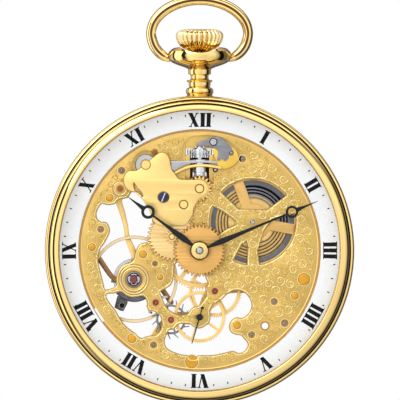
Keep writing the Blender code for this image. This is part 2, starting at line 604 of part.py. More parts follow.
def screw_head(name, at, radius, head, shank_r, shank_end, mat, steps=14):
    """A slotted screw; head = (front, rear) and the shank runs from the head to shank_end."""
    towards_rear = shank_end > head[1]
    outer, seat = (head[0], head[1]) if towards_rear else (head[1], head[0])
    screw = turned(name, [
        (0, outer), (radius, outer), (radius, seat), (shank_r, seat), (shank_r, shank_end), (0, shank_end),
    ], at, mat, steps=steps)
    depth = 0.12 if towards_rear else -0.12
    slot_level = sorted((outer - depth, outer + depth))
    slot = [(-2, -0.1), (2, -0.1), (2, 0.1), (-2, 0.1)]
    lean = sum(map(ord, name)) % 180
    turned_slot = [polar(math.hypot(x, z), math.atan2(z, x) + math.radians(lean)) for x, z in slot]
    return cut(screw, flat(name + "_slot", [turned_slot], slot_level, at, mat))


def build_train():
    wheel_and_arbor(
        "centre_wheel", CENTRE, wheel_outline("centre", M_CENTRE), CENTRE_WHEEL,
        spoke_windows(5, 1.5, 5.0, 0.3, math.radians(20), 4),
        [(0, -4.2), (0.5, -4.2), (0.5, 1.36), (0.3, 1.36), (0.3, 1.88), (0, 1.88)], SATIN_GOLD,
        leaf_outline("centre_pinion", M_BARREL), (-0.05, 0.8))
    wheel_and_arbor(
        "third_wheel", THIRD, wheel_outline("third", M_THIRD), THIRD_WHEEL,
        spoke_windows(5, 1.0, 3.4, 0.22, math.radians(10), 4),
        arbor_profile(-1.2, 2.8, (0.1, 2.2), True), SATIN_GOLD, leaf_outline("third_pinion", M_CENTRE), (0.65, 1.15))
    wheel_and_arbor(
        "fourth_wheel", FOURTH, wheel_outline("fourth", M_FOURTH), FOURTH_WHEEL,
        spoke_windows(5, 1.0, 3.4, 0.22, math.radians(-36), 4),
        [(0, -2.6), (0.2, -2.6), (0.2, 0.1), (0.28, 0.1), (0.28, 2.2), (0.14, 2.2), (0.14, 2.8), (0, 2.8)],
        SATIN_GOLD, leaf_outline("fourth_pinion", M_THIRD), (1.15, 1.55))
    build_escape_wheel()


def build_escape_wheel():
    """Fifteen club-shaped teeth, leaning the way that the wheel turns."""
    pitch = TURN / TEETH["escape"]
    outline = []
    for k in range(TEETH["escape"]):
        a = math.radians(131.4) + (k + 0.5) * pitch
        outline += [
            polar(2.3, a - 0.32 * pitch), polar(2.9, a + 0.02 * pitch), polar(ESCAPE_TIP_R, a + 0.16 * pitch),
            polar(2.98, a + 0.2 * pitch), polar(2.3, a - 0.02 * pitch),
        ]
    wheel_and_arbor(
        "escape_wheel", ESCAPE, outline, ESCAPE_WHEEL, spoke_windows(4, 0.7, 1.9, 0.15, 0.3, 3),
        arbor_profile(-1.2, 2.8, (0.1, 2.2), True, 0.25), STEEL, leaf_outline("escape_pinion", M_FOURTH), (0.2, 0.6))


def ring_jewel(name, at, outer, inner, level):
    return turned(name, [(inner, level[0]), (outer, level[0]), (outer, level[1]), (inner, level[1])], at, RUBY,
                  steps=SMALL_STEPS)


# ---- escapement and balance ------------------------------------------------------------------------------
def build_fork():
    to_balance = math.atan2(BALANCE[1] - FORK[1], BALANCE[0] - FORK[0])
    to_escape = math.atan2(ESCAPE[1] - FORK[1], ESCAPE[0] - FORK[0])
    arms, stone_places = [], []
    for side in (-1, 1):
        angle = to_escape + math.pi + side * STONE_SPREAD
        stone_places.append(polar(ESCAPE_TIP_R + 0.12, angle, ESCAPE))
        elbow = polar(3.62, angle - side * math.radians(11), ESCAPE)
        arms.append([(0, 0)] + shifted([elbow, polar(3.5, angle, ESCAPE)], FORK))
    lever = flat("pallet_fork", [ribbon([(0, 0), polar(1.6, to_balance), polar(3.35, to_balance)], [0.36, 0.16, 0.2], 4)],
                 FORK_LEVEL, FORK, STEEL)
    helpers = [flat(f"fork_arm_{k}", [ribbon(arm, [0.3, 0.22, 0.2], 3)], FORK_LEVEL, FORK, STEEL)
               for k, arm in enumerate(arms)]
    for k, side in enumerate((-1, 1)):
        horn = polar(3.5, to_balance + side * 0.085)
        helpers.append(flat(f"fork_horn_{k}", [ribbon([polar(3.15, to_balance + side * 0.04), horn], [0.12, 0.09], 2)],
                            FORK_LEVEL, FORK, STEEL))
    helpers.append(turned("fork_arbor", arbor_profile(-1.0, 1.45, (0.1, 1.15), True, 0.22, 0.12), FORK, STEEL, steps=10))
    join(lever, *helpers)
    for name, at in zip(("exit_pallet", "entry_pallet"), stone_places):
        bearing = math.atan2(ESCAPE[1] - at[1], ESCAPE[0] - at[0])
        side_x, side_z = polar(0.15, bearing + math.pi / 2)
        (out_x, out_z), (tip_x, tip_z) = polar(0.45, bearing + math.pi), polar(0.12, bearing)
        outline = [(out_x - side_x, out_z - side_z), (tip_x - side_x, tip_z - side_z),
                   (tip_x + side_x, tip_z + side_z), (out_x + side_x, out_z + side_z)]
        flat(name, [outline], (FORK_LEVEL[1] + 0.03, FORK_LEVEL[1] + 0.09), at, RUBY)


def build_balance():
    rim = flat("balance_wheel", [circle(6.7, 48)] + spoke_windows(2, 1.0, 5.95, 0.3, math.radians(150), 16),
               (1.7, 2.0), BALANCE, SATIN_GOLD)
    flange = turned("balance_rim", [
        (6.05, BALANCE_RIM[0]), (6.7, BALANCE_RIM[0]), (6.7, BALANCE_RIM[1]), (6.05, BALANCE_RIM[1]),
    ], BALANCE, SATIN_GOLD, steps=48)
    hole = turned("balance_bore", [(0, 3), (0.42, 3), (0.42, 1), (0, 1)], BALANCE, STEEL, steps=SMALL_STEPS)
    cut(join(rim, flange), hole)
    staff = turned("balance_staff", [
        (0, -0.45), (0.1, -0.45), (0.1, 0.1), (0.3, 0.1), (0.3, 1.2), (1.45, 1.2), (1.45, 1.42), (0.36, 1.42),
        (0.36, 2.1), (0.36, 2.25), (0.7, 2.25), (0.7, 2.45), (0.1, 2.45), (0.1, 2.9), (0, 2.9),
    ], BALANCE, STEEL, steps=16)
    to_fork = math.atan2(FORK[1] - BALANCE[1], FORK[0] - BALANCE[0])
    pin = polar(1.12, to_fork, BALANCE)
    join(staff, turned("impulse_pin", [(0, 1.3), (0.09, 1.3), (0.09, 0.88), (0, 0.88)], pin, RUBY, steps=8))
    turns, start, end, half = 6, 0.85, 3.7, 0.05
    steps = turns * 12
    spiral = [(start + (end - start) * i / steps, TURN * turns * i / steps + 0.4) for i in range(steps + 1)]
    strip = [polar(r + half, a) for r, a in spiral] + [polar(r - half, a) for r, a in spiral[::-1]]
    flat("hairspring", [strip], HAIRSPRING, BALANCE, BLUED)
    turned("balance_setting", [
        (0, -1.66), (0.6, -1.66), (0.7, -1.56), (1.22, -1.56), (1.22, -0.1), (0.17, -0.1), (0.17, -0.6), (0, -0.6),
    ], BALANCE, STEEL, steps=20)


def build_bridges():
    barrel_bridge = flat("barrel_bridge", [
        arc(18.2, math.radians(112), math.radians(-12), 18)
        + [(9.5, -2.2), (6.0, -3.0), (3.5, -1.6), (1.6, -1.8), (0.0, -2.0), (-1.6, -1.4), (-2.1, 0.3), (-2.6, 4.0),
           (-4.3, 9.0)],
        circle(0.38, SMALL_STEPS), circle(0.78, SMALL_STEPS, BARREL), circle(0.55, SMALL_STEPS, CROWN_WHEEL),
        [(-2.1, 14.0), (2.1, 14.0), (2.1, 15.9), (-2.1, 15.9)],
    ] + [circle(0.5, SMALL_STEPS, at) for at in BARREL_FEET] + [circle(0.38, SMALL_STEPS, CLICK_PIVOT)],
        BARREL_BRIDGE, (0, 0), ENGRAVED_GOLD)
    posts = [turned(f"barrel_foot_{i}", [(0.56, 0.06), (1.15, 0.06), (1.15, 1.6), (0.56, 1.6)], at, SATIN_GOLD, steps=12)
             for i, at in enumerate(BARREL_FEET)]
    join(barrel_bridge, *posts)
    for i, at in enumerate(BARREL_FEET):
        screw_head(f"barrel_bridge_screw_{i + 1}", at, 0.85, (1.95, 2.3), 0.4, 0.1, BLUED)

    path = [TRAIN_FEET[0], (8.6, -5.6), THIRD, FOURTH, ESCAPE, TRAIN_FEET[1]]
    holes = [circle(0.2, SMALL_STEPS, at) for at in (THIRD, FOURTH, ESCAPE)]
    foot_holes = [circle(0.45, SMALL_STEPS, at) for at in TRAIN_FEET]
    train_bridge = flat("train_bridge", [ribbon(path, [1.5, 1.3, 1.0, 1.0, 0.9, 1.0])] + holes + foot_holes,
                        TRAIN_BRIDGE, (0, 0), ENGRAVED_GOLD)
    posts = [turned(f"train_foot_{i}", [(0.5, 0.06), (0.95, 0.06), (0.95, 2.5), (0.5, 2.5)], at, SATIN_GOLD, steps=12)
             for i, at in enumerate(TRAIN_FEET)]
    join(train_bridge, *posts)
    screw_head("train_bridge_screw", TRAIN_FEET[0], 0.8, (3.0, 3.3), 0.35, 0.5, BLUED)

    pallet_bridge = flat("pallet_bridge", [ribbon([FORK_FOOT, (-6.55, -6.6), FORK], [0.75, 0.5, 0.65]),
                                           circle(0.17, 8, FORK)], PALLET_BRIDGE, (0, 0), ENGRAVED_GOLD)
    join(pallet_bridge, turned("pallet_foot", [(0, 0.06), (0.6, 0.06), (0.6, 1.35), (0, 1.35)], FORK_FOOT, SATIN_GOLD,
                               steps=10))

    arm = [BALANCE, (-10.1, -1.6), (-10.6, 1.2), (-11.2, 3.6), (-11.9, 6.0), COCK_FOOT]
    cock = flat("balance_cock", [ribbon(arm, [2.2, 0.6, 0.32, 0.32, 0.45, 1.3], 8), circle(0.16, 8, BALANCE),
                                 circle(0.5, SMALL_STEPS, COCK_FOOT)], COCK, (0, 0), ENGRAVED_GOLD)
    join(cock, turned("cock_foot", [(0.56, 0.06), (1.2, 0.06), (1.2, 2.8), (0.56, 2.8)], COCK_FOOT, SATIN_GOLD, steps=14))
    screw_head("balance_cock_screw", COCK_FOOT, 0.85, (3.25, 3.6), 0.4, 0.5, BLUED)
    tail = arc(3.5, math.radians(215), math.radians(300), 7) + arc(2.5, math.radians(300), math.radians(215), 6)
    lug = ribbon([polar(3.0, math.radians(222)), polar(4.5, math.radians(246 - 14))], [0.6, 0.75], 4)
    regulator = flat("regulator", [circle(1.7, 20), circle(0.9, SMALL_STEPS)], REGULATOR, BALANCE, GREY_STEEL)
    neck = flat("regulator_neck", [ribbon([polar(1.4, math.radians(257)), polar(3.0, math.radians(257))], [0.4, 0.4], 2)],
                REGULATOR, BALANCE, GREY_STEEL)
    join(regulator, neck, flat("regulator_tail", [tail], REGULATOR, BALANCE, GREY_STEEL),
         flat("regulator_lug", [lug], REGULATOR, BALANCE, GREY_STEEL))


# ---- motion work, dial side ----------------------------------------------------------------------------------
def build_motion_work():
    tip, root = radii("cannon", M_MINUTE)
    cannon = turned("cannon_pinion", [(0.56, -3.8), (0.86, -3.8), (0.86, -1.62), (0.56, -1.62)], CENTRE, STEEL, steps=16)
    join(cannon, flat("cannon_leaves", [leaved(TEETH["cannon"], tip, root, PHASE["cannon"]), circle(0.7, 16)],
                      (-2.15, -1.62), CENTRE, STEEL))
    stud = circle(0.5, SMALL_STEPS)
    minute = flat("minute_wheel", [wheel_outline("minute", M_MINUTE), stud], MOTION, MINUTE, SATIN_GOLD)
    tip, root = radii("minute_pinion", M_HOUR)
    leaves = leaved(TEETH["minute_pinion"], tip, root, PHASE["minute_pinion"])
    join(minute, flat("minute_leaves", [leaves, stud], (-2.62, -1.7), MINUTE, STEEL))
    hour = flat("hour_wheel", [wheel_outline("hour", M_HOUR), circle(0.98, 16)], HOUR_DISC, CENTRE, ROSE_GOLD)
    join(hour, turned("hour_pipe", [(0.98, -3.42), (1.25, -3.42), (1.25, -2.4), (0.98, -2.4)], CENTRE, ROSE_GOLD, steps=16))
    for name, at in (("intermediate", INTERMEDIATE), ("setting", SETTING)):
        flat(name + "_wheel", [wheel_outline(name, M_MINUTE), circle(0.68, SMALL_STEPS)], MOTION, at, STEEL)


def hand_outline(path, hub_r, hub_steps=12):
    """A tapering hand from its hub, the path given as (distance, half width) along +Z."""
    left = [(-half, far) for far, half in path]
    right = [(half, far) for far, half in path[::-1]]
    base = math.asin(path[0][1] / hub_r)
    hub = arc(hub_r, math.pi / 2 - base, math.pi / 2 + base - TURN, hub_steps)
    return left + right + hub[1:-1]


def swung(loop, clockwise):
    return [polar(math.hypot(x, z), math.atan2(z, x) - math.radians(clockwise)) for x, z in loop]


def build_hands():
    """Pomme hands, at about eleven minutes past ten."""
    hour = [(1.5, 0.28), (3.2, 0.6), (6.0, 0.42), (8.65, 0.14), (8.85, 0.5), (9.77, 1.04), (10.7, 0.5), (10.85, 0.42), (13.4, 0.04)]
    minute = [(1.3, 0.3), (4.5, 0.55), (9.0, 0.38), (13.9, 0.2), (14.45, 0.55), (15.2, 0.92), (15.95, 0.55), (16.2, 0.42), (19.5, 0.04)]
    flat("hour_hand", [swung(hand_outline(hour, 1.6), 306.8), swung(circle(0.98, 14), 0),
                       swung(circle(0.6, 12, (0, 9.77)), 306.8)], HOUR_HAND, CENTRE, BLACK)
    flat("minute_hand", [swung(hand_outline(minute, 1.35), 67.3), swung(circle(0.58, 12), 0),
                         swung(circle(0.58, 12, (0, 15.2)), 67.3)], MINUTE_HAND, CENTRE, BLACK)
    tail = [(0.45, -0.1), (0.45, 0.1)]
    body = [(-0.09, 0.4), (-0.03, 4.2), (0.03, 4.2), (0.09, 0.4), (0.42, 0.15), (0.42, -0.15), (0.09, -0.4),
            (0.1, -1.2), (0.26, -1.35), (0.26, -1.65), (0.0, -1.8), (-0.26, -1.65), (-0.26, -1.35), (-0.1, -1.2),
            (-0.09, -0.4), (-0.42, -0.15), (-0.42, 0.15)]
    flat("seconds_hand", [swung(body, 196.3), circle(0.26, 10)], SECONDS_HAND, FOURTH, BLACK)


# ---- keyless work ----------------------------------------------------------------------------------------------
KEYLESS_COVER = [
    (-6.2, 14.6), (-5.2, 14.75), (-4.65, 14.1), (-4.5, 12.9), (-4.0, 11.9), (-3.4, 11.0), (-2.4, 10.75), (-0.3, 10.75),
    (0.9, 10.5), (1.3, 9.5), (0.9, 8.5), (-0.2, 7.9), (-0.9, 6.6), (-1.2, 5.3), (-1.9, 4.2), (-3.0, 3.85),
    (-6.0, 3.85), (-7.0, 4.5), (-7.5, 6.0), (-8.4, 7.4), (-9.4, 8.8), (-10.3, 8.95), (-11.2, 10.0), (-11.5, 11.2),
    (-11.0, 12.1), (-10.1, 12.2), (-9.3, 11.5), (-8.2, 11.2), (-7.1, 11.5), (-6.4, 12.4), (-6.3, 13.6),
]
COVER_SLOT = [(-9.9, 10.3), (-9.3, 9.6), (-8.8, 8.8), (-8.4, 8.2), (-8.8, 8.3), (-9.5, 9.1), (-10.0, 10.0)]


def build_keyless():
    holes = [circle(r + 0.06, 16, at) for at, r, _ in STUDS[1:]] + [circle(0.46, SMALL_STEPS, COVER_SCREW)]
    cover = flat("keyless_cover", [KEYLESS_COVER] + holes + [COVER_SLOT], COVER, (0, 0), SATIN_GOLD)
    join(cover, turned("cover_foot", [(0.52, -2.1), (0.95, -2.1), (0.95, -1.55), (0.52, -1.55)], COVER_SCREW, SATIN_GOLD,
                       steps=SMALL_STEPS))
    screw_head("keyless_cover_screw", COVER_SCREW, 0.8, (-2.55, -2.3), 0.36, -0.6, BLUED)
    yoke = [(-9.3, 13.4), (-8.6, 14.1), (-7.6, 14.1), (-6.0, 13.6), (-2.0, 13.55), (2.6, 13.6), (2.95, 13.35),
            (2.2, 13.14), (0.0, 13.1), (-2.4, 12.9), (-4.0, 12.1), (-6.0, 12.2), (-8.0, 12.0), (-9.2, 12.4)]
    flat("yoke", [shifted(yoke, YOKE_PIVOT), circle(0.78, 16)], KEYLESS, YOKE_PIVOT, STEEL)
    lever = [(0.0, 16.6), (0.6, 17.0), (2.2, 17.3), (3.3, 16.9), (5.1, 15.3), (4.7, 14.3), (4.0, 13.65), (3.1, 13.75),
             (2.7, 14.3), (2.8, 15.1), (2.2, 15.6), (0.6, 15.85), (0.0, 16.2)]
    lever_body = flat("setting_lever", [shifted(lever, LEVER_PIVOT), circle(0.45, SMALL_STEPS)], LEVER, LEVER_PIVOT, GREY_STEEL)
    pin = turned("lever_pin", [(0, -1.7), (0.13, -1.7), (0.13, -0.36), (0, -0.36)], (0.16, 16.45), STEEL, steps=8)
    join(lever_body, pin)
    screw_head("setting_lever_screw", LEVER_PIVOT, 0.62, (-2.2, -1.93), 0.36, -0.7, STEEL)
    jumper = [(3.3, 15.6), (5.3, 15.5), (5.75, 14.5), (5.5, 13.5), (4.4, 12.75), (3.4, 12.7), (3.3, 13.3)]
    flat("setting_lever_jumper", [jumper], KEYLESS, (0, 0), SATIN_GOLD)
    spring = [(-4.6, 11.35), (-2.8, 11.95), (0.2, 12.2), (3.0, 12.05), (3.0, 11.85), (0.2, 12.0), (-2.7, 11.75), (-4.4, 11.15)]
    flat("yoke_spring", [spring], (KEYLESS[0], -1.28), (0, 0), STEEL)


def build_winding_wheels():
    tip, root = radii("crown_wheel", M_WINDING)
    flat("crown_wheel", [toothed(TEETH["crown_wheel"], tip, root, PHASE["crown_wheel"]), circle(0.9, 16)],
         WINDING_WHEELS, CROWN_WHEEL, SATIN_GOLD)
    screw_head("crown_wheel_screw", CROWN_WHEEL, 1.5, (2.45, 2.8), 0.5, 1.5, STEEL)
    beak = polar(radii("ratchet", M_WINDING)[0] + 0.08, math.radians(48), BARREL)
    click = [polar(0.75, math.radians(a), CLICK_PIVOT) for a in (250, 300, 350, 40, 90, 140)] + [
        (10.9, 11.0), beak, (beak[0] + 0.35, beak[1] - 0.1)]
    flat("click", [shifted(click, CLICK_PIVOT), circle(0.36, 10)], (1.98, 2.38), CLICK_PIVOT, STEEL)
    spring = [(13.3, 12.3), (14.6, 10.6), (15.5, 8.4), (15.7, 6.3), (15.5, 6.3), (15.3, 8.3), (14.4, 10.45), (13.15, 12.15)]
    flat("click_spring", [spring], (1.98, 2.3), (0, 0), STEEL)


build_case()
build_pendant_and_bow()
build_crown()
build_stem_pinions()
build_mainplate()
build_barrel()
build_train()
build_fork()
build_balance()
build_bridges()
build_motion_work()
build_hands()
build_keyless()
build_winding_wheels()
ring_jewel("third_jewel", THIRD, 0.57, 0.2, (-1.52, -0.9))
ring_jewel("escape_jewel", ESCAPE, 0.57, 0.2, (-1.52, -0.9))
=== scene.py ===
"""A skeleton pocket watch in its gold case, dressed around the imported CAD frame.

Lengths are millimetres from the hands' axis (x right, y back, z up) until `piece` turns them into metres.
"""

import json
import math
import random

import bmesh
import bpy
import numpy as np
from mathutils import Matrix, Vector


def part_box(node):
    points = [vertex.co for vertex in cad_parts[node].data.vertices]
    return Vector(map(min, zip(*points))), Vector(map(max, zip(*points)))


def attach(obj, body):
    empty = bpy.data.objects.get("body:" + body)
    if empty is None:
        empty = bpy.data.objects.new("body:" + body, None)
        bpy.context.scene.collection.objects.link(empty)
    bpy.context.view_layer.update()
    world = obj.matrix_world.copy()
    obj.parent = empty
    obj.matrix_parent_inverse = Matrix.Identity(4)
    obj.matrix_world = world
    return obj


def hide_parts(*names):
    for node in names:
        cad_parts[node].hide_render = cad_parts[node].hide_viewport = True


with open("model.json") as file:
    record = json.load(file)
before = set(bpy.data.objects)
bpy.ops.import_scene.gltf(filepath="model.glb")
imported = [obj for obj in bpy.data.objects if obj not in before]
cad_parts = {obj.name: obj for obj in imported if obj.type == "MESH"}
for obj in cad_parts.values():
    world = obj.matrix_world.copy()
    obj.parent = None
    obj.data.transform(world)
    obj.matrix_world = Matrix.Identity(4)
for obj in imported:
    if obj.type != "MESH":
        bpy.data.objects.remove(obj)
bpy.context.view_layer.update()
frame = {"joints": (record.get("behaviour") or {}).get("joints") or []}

MM = 0.001
TURN = 2 * math.pi
low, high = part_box("chapter_ring")
HAND_Z = (low.z + high.z) / 2 / MM  # the hands' axis, below the origin


def axis_of(joint):
    """(x, z) of a joint's axis from the hands' axis, in millimetres."""
    x, _, z = next(j["pos_m"] for j in frame["joints"] if j["name"] == joint)
    return x / MM, z / MM - HAND_Z


CENTRE = (0.0, 0.0)
BARREL = axis_of("barrel_turn")
THIRD = axis_of("third_turn")
FOURTH = axis_of("fourth_turn")
ESCAPE = axis_of("escape_turn")
FORK = axis_of("fork_swing")
BALANCE = axis_of("balance_swing")
MINUTE = axis_of("minute_wheel_turn")
INTERMEDIATE = axis_of("intermediate_turn")
SETTING = axis_of("setting_turn")
CROWN_WHEEL = axis_of("crown_wheel_turn")
YOKE_PIVOT = axis_of("yoke_swing")
LEVER_PIVOT = axis_of("setting_lever_swing")
CLICK_PIVOT = axis_of("click_swing")
BOW_PIVOT_Z = axis_of("bow_swing")[1]
FACE = -1.5  # the front of the mainplate
POCKET_FLOOR = -0.95  # the bottom of the recess for the winding and setting work
WHEEL_LEVEL = (-1.85, -1.62)  # the minute wheel and the two setting wheels
SHADOW_LEVEL = (-1.615, -1.6)


def levels(node):
    """(front, rear) of a CAD node along Y, in millimetres."""
    a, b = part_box(node)
    return a.y / MM, b.y / MM


def layer(node, thickness):
    """(front, rear) of a layer at a node's front, or at its rear when the thickness is negative."""
    front, rear = levels(node)
    return (front, front + thickness) if thickness > 0 else (rear + thickness, rear)


# ---- materials ----
GRAIN_DEPTH = 0.00004  # metres


def feed(tree, socket, value):
    """Gives an input socket a value, or a link when the value is another node's output."""
    if isinstance(value, bpy.types.NodeSocket):
        tree.links.new(value, socket)
    else:
        socket.default_value = value


def add(tree, kind, settings=None, **inputs):
    """Adds a shader node with its settings and inputs; an underscore in a keyword is a space in the socket's name."""
    made = tree.nodes.new("ShaderNode" + kind)
    for key, value in (settings or {}).items():
        setattr(made, key, value)
    for key, value in inputs.items():
        feed(tree, made.inputs[key.replace("_", " ")], value)
    return made


def maths(tree, operation, *values):
    made = add(tree, "Math", {"operation": operation})
    for socket, value in zip(made.inputs, values):
        feed(tree, socket, value)
    return made.outputs[0]


def spread(tree, value, low, high, to_low=0.0, to_high=1.0):
    """Maps low..high onto to_low..to_high and clamps the rest."""
    made = add(tree, "MapRange", Value=value, From_Min=low, From_Max=high, To_Min=to_low, To_Max=to_high)
    return made.outputs["Result"]


def mixed(tree, factor, a, b, blend="MIX"):
    made = add(tree, "Mix", {"data_type": "RGBA", "blend_type": blend}, Factor=factor)
    colours = {socket.name: socket for socket in made.inputs if socket.type == "RGBA"}
    feed(tree, colours["A"], a)
    feed(tree, colours["B"], b)
    return next(socket for socket in made.outputs if socket.type == "RGBA")


def shader_of(mat):
    return mat.node_tree.nodes["Principled BSDF"]


def nodes_of(name, colour, rough, metallic):
    """A plain new material, with its node tree and its shader."""
    mat = bpy.data.materials.new(name)
    mat.use_nodes = True
    tree, shader = mat.node_tree, shader_of(mat)
    shader.inputs["Base Color"].default_value = (*colour, 1)
    shader.inputs["Roughness"].default_value = rough
    shader.inputs["Metallic"].default_value = metallic
    return mat, tree, shader


def noise(tree, scale, detail=3.0, stretch=(1, 1, 1)):
    at = add(tree, "Mapping", Scale=stretch, Vector=add(tree, "TexCoord").outputs["Object"])
    return add(tree, "TexNoise", Scale=scale, Detail=detail, Vector=at.outputs["Vector"]).outputs["Fac"]


def ramp(tree, value, stops):
    """A colour ramp over a value, from (position, colour) stops."""
    made = add(tree, "ValToRGB", Fac=value)
    for element, (at, colour) in zip(made.color_ramp.elements, (stops[0], stops[-1])):
        element.position, element.color = at, (*colour, 1)
    for at, colour in stops[1:-1]:
        made.color_ramp.elements.new(at).color = (*colour, 1)
    return made.outputs["Color"]


def surface(name, colour, rough, metallic=1.0, vary=0.06, vary_scale=350, grain=0.0, grain_scale=4000,
            stretch=(1, 1, 1), rough_vary=0.04, sun_at=None):
    """A material whose colour and roughness drift, with a fine grain, or with graining that radiates from sun_at."""
    mat, tree, shader = nodes_of(name, colour, rough, metallic)
    dark = tuple(c * (1 - vary) for c in colour)
    light = tuple(min(c * (1 + vary), 1) for c in colour)
    feed(tree, shader.inputs["Base Color"], ramp(tree, noise(tree, vary_scale), [(0.3, dark), (0.7, light)]))
    drift = noise(tree, vary_scale * 2.3)
    feed(tree, shader.inputs["Roughness"],
         spread(tree, drift, 0.3, 0.7, max(rough - rough_vary, 0.01), rough + rough_vary))
    if grain:
        height = rays(tree, sun_at) if sun_at else noise(tree, grain_scale, 2.0, stretch)
        bump = add(tree, "Bump", Strength=grain, Distance=GRAIN_DEPTH, Height=height)
        feed(tree, shader.inputs["Normal"], bump.outputs["Normal"])
    return mat


def rays(tree, at):
    """Noise that only changes with the bearing from a place, as sunray graining does."""
    place = add(tree, "SeparateXYZ", Vector=add(tree, "TexCoord").outputs["Object"])
    x = maths(tree, "SUBTRACT", place.outputs["X"], at[0] * MM)
    z = maths(tree, "SUBTRACT", place.outputs["Z"], (at[1] + HAND_Z) * MM)
    bearing = maths(tree, "ARCTAN2", x, z)
    return add(tree, "TexNoise", {"noise_dimensions": "1D"}, Scale=45, Detail=4, W=bearing).outputs["Fac"]


CASE_GOLD = surface("case_gold", (0.93, 0.68, 0.27), 0.07, vary=0.03, vary_scale=120, rough_vary=0.02,
                    grain=0.03, grain_scale=900)


def painted_reflection_tone(mat, stops):
    """Painted reflection and shade: multiplies a material's colour by a tone that depends on how squarely it is seen,
    as the mirrored image of a dark studio would.
    """
    tree = mat.node_tree
    base = shader_of(mat).inputs["Base Color"]
    tone = ramp(tree, add(tree, "LayerWeight", Blend=0.5).outputs["Facing"], stops)
    feed(tree, base, mixed(tree, 1, base.links[0].from_socket, tone, "MULTIPLY"))


BOW_GOLD = surface("bow_gold", (0.95, 0.72, 0.32), 0.08, vary=0.03, vary_scale=120, rough_vary=0.02)
# painted reflection: the case gold darkens towards its silhouette
painted_reflection_tone(CASE_GOLD, [(0.0, (1, 1, 1)), (0.50, (1, 1, 1)), (0.66, (0.45, 0.38, 0.30)), (0.80, (0.16, 0.11, 0.07)),
                        (1.0, (0.12, 0.08, 0.05))])
# painted reflection: the bow gold is dark where it faces the camera squarely and at its silhouette
painted_reflection_tone(BOW_GOLD, [(0.0, (0.10, 0.06, 0.03)), (0.016, (0.22, 0.15, 0.10)), (0.05, (1, 1, 1)), (0.42, (1, 1, 1)),
                       (0.58, (0.40, 0.34, 0.26)), (0.75, (0.10, 0.07, 0.04)), (1.0, (0.08, 0.05, 0.03))])
CROWN_GOLD = surface("crown_gold", (0.96, 0.78, 0.43), 0.12, vary=0.03, vary_scale=300)
PLATE_GOLD = surface("plate_gold", (0.69, 0.47, 0.145), 0.42, vary=0.10, vary_scale=420, grain=0.35, grain_scale=5200)
RELIEF_GOLD = surface("relief_gold", (1.0, 0.84, 0.42), 0.22, vary=0.06, vary_scale=700, grain=0.08, grain_scale=4000)
# dark brown gold for engraved grooves and for painted shadow lines round pieces and along edges
GROOVE_AND_SHADE_GOLD = surface("groove_and_shade_gold", (0.45, 0.24, 0.06), 0.5, vary=0.12, vary_scale=700, grain=0.2)
COVER_GOLD = surface("cover_gold", (0.96, 0.70, 0.265), 0.40, vary=0.02, vary_scale=260)
WHEEL_COLOUR = (0.90, 0.61, 0.22)
WHEEL_GOLD = surface("wheel_gold", WHEEL_COLOUR, 0.30, vary=0.05, vary_scale=500, grain=0.10, grain_scale=3500)
MINUTE_GOLD = surface("minute_gold", (0.86, 0.61, 0.27), 0.36, vary=0.04, vary_scale=500)
PLAIN_GOLD = surface("plain_gold", (0.80, 0.50, 0.16), 0.35, vary=0.08, vary_scale=500, grain=0.10)
PALE_GOLD = surface("balance_rim_gold", (0.88, 0.68, 0.40), 0.30, vary=0.05, vary_scale=400, grain=0.05)
# a dark brown copy of the balance's gold for its arms: painted shade
BALANCE_GOLD_IN_SHADE = surface("balance_gold_in_shade", (0.30, 0.16, 0.07), 0.30, vary=0.06, vary_scale=400, grain=0.06)
ROSE_GOLD = surface("hour_gold", (0.79, 0.47, 0.15), 0.48, vary=0.04, vary_scale=420)
POCKET_GOLD = surface("pocket_gold", (0.70, 0.36, 0.04), 0.34, vary=0.10, vary_scale=900)
# near-black brown for the wires laid in the crown's flutes: painted shade
FLUTE_SHADE_UMBER = surface("flute_shade_umber", (0.10, 0.05, 0.015), 0.45, vary=0.12, vary_scale=700)
COPPER = surface("copper", (0.32, 0.125, 0.045), 0.30, vary=0.10, vary_scale=900)
STEEL = surface("steel", (0.50, 0.52, 0.55), 0.16, vary=0.05, vary_scale=700, grain=0.05, grain_scale=3000)
PINION_STEEL = surface("pinion_steel", (0.74, 0.76, 0.80), 0.12, vary=0.05, vary_scale=700)
BRIGHT_STEEL = surface("bright_steel", (0.80, 0.83, 0.90), 0.3, vary=0.05, vary_scale=700)
GREY_STEEL = surface("grey_steel", (0.26, 0.27, 0.30), 0.36, vary=0.08, vary_scale=600, grain=0.12,
                     grain_scale=3500, stretch=(1, 1, 0.2))
SPRING_STEEL = surface("spring_steel", (0.20, 0.21, 0.235), 0.34, vary=0.10, vary_scale=900, grain=0.08)
# a dark copy of the spring steel for the turns in shade: painted shade
SPRING_SHADE = surface("spring_steel_in_shade", (0.07, 0.045, 0.03), 0.4, vary=0.10, vary_scale=900)
YELLOW_GOLD = surface("jumper_gold", (0.93, 0.62, 0.11), 0.34, vary=0.05, vary_scale=500, grain=0.08)
LID_GOLD = surface("lid_gold", (0.72, 0.455, 0.155), 0.40, vary=0.05, vary_scale=500, grain=0.12)
DULL_STEEL = surface("dull_steel", (0.16, 0.165, 0.18), 0.4, vary=0.10, vary_scale=700)
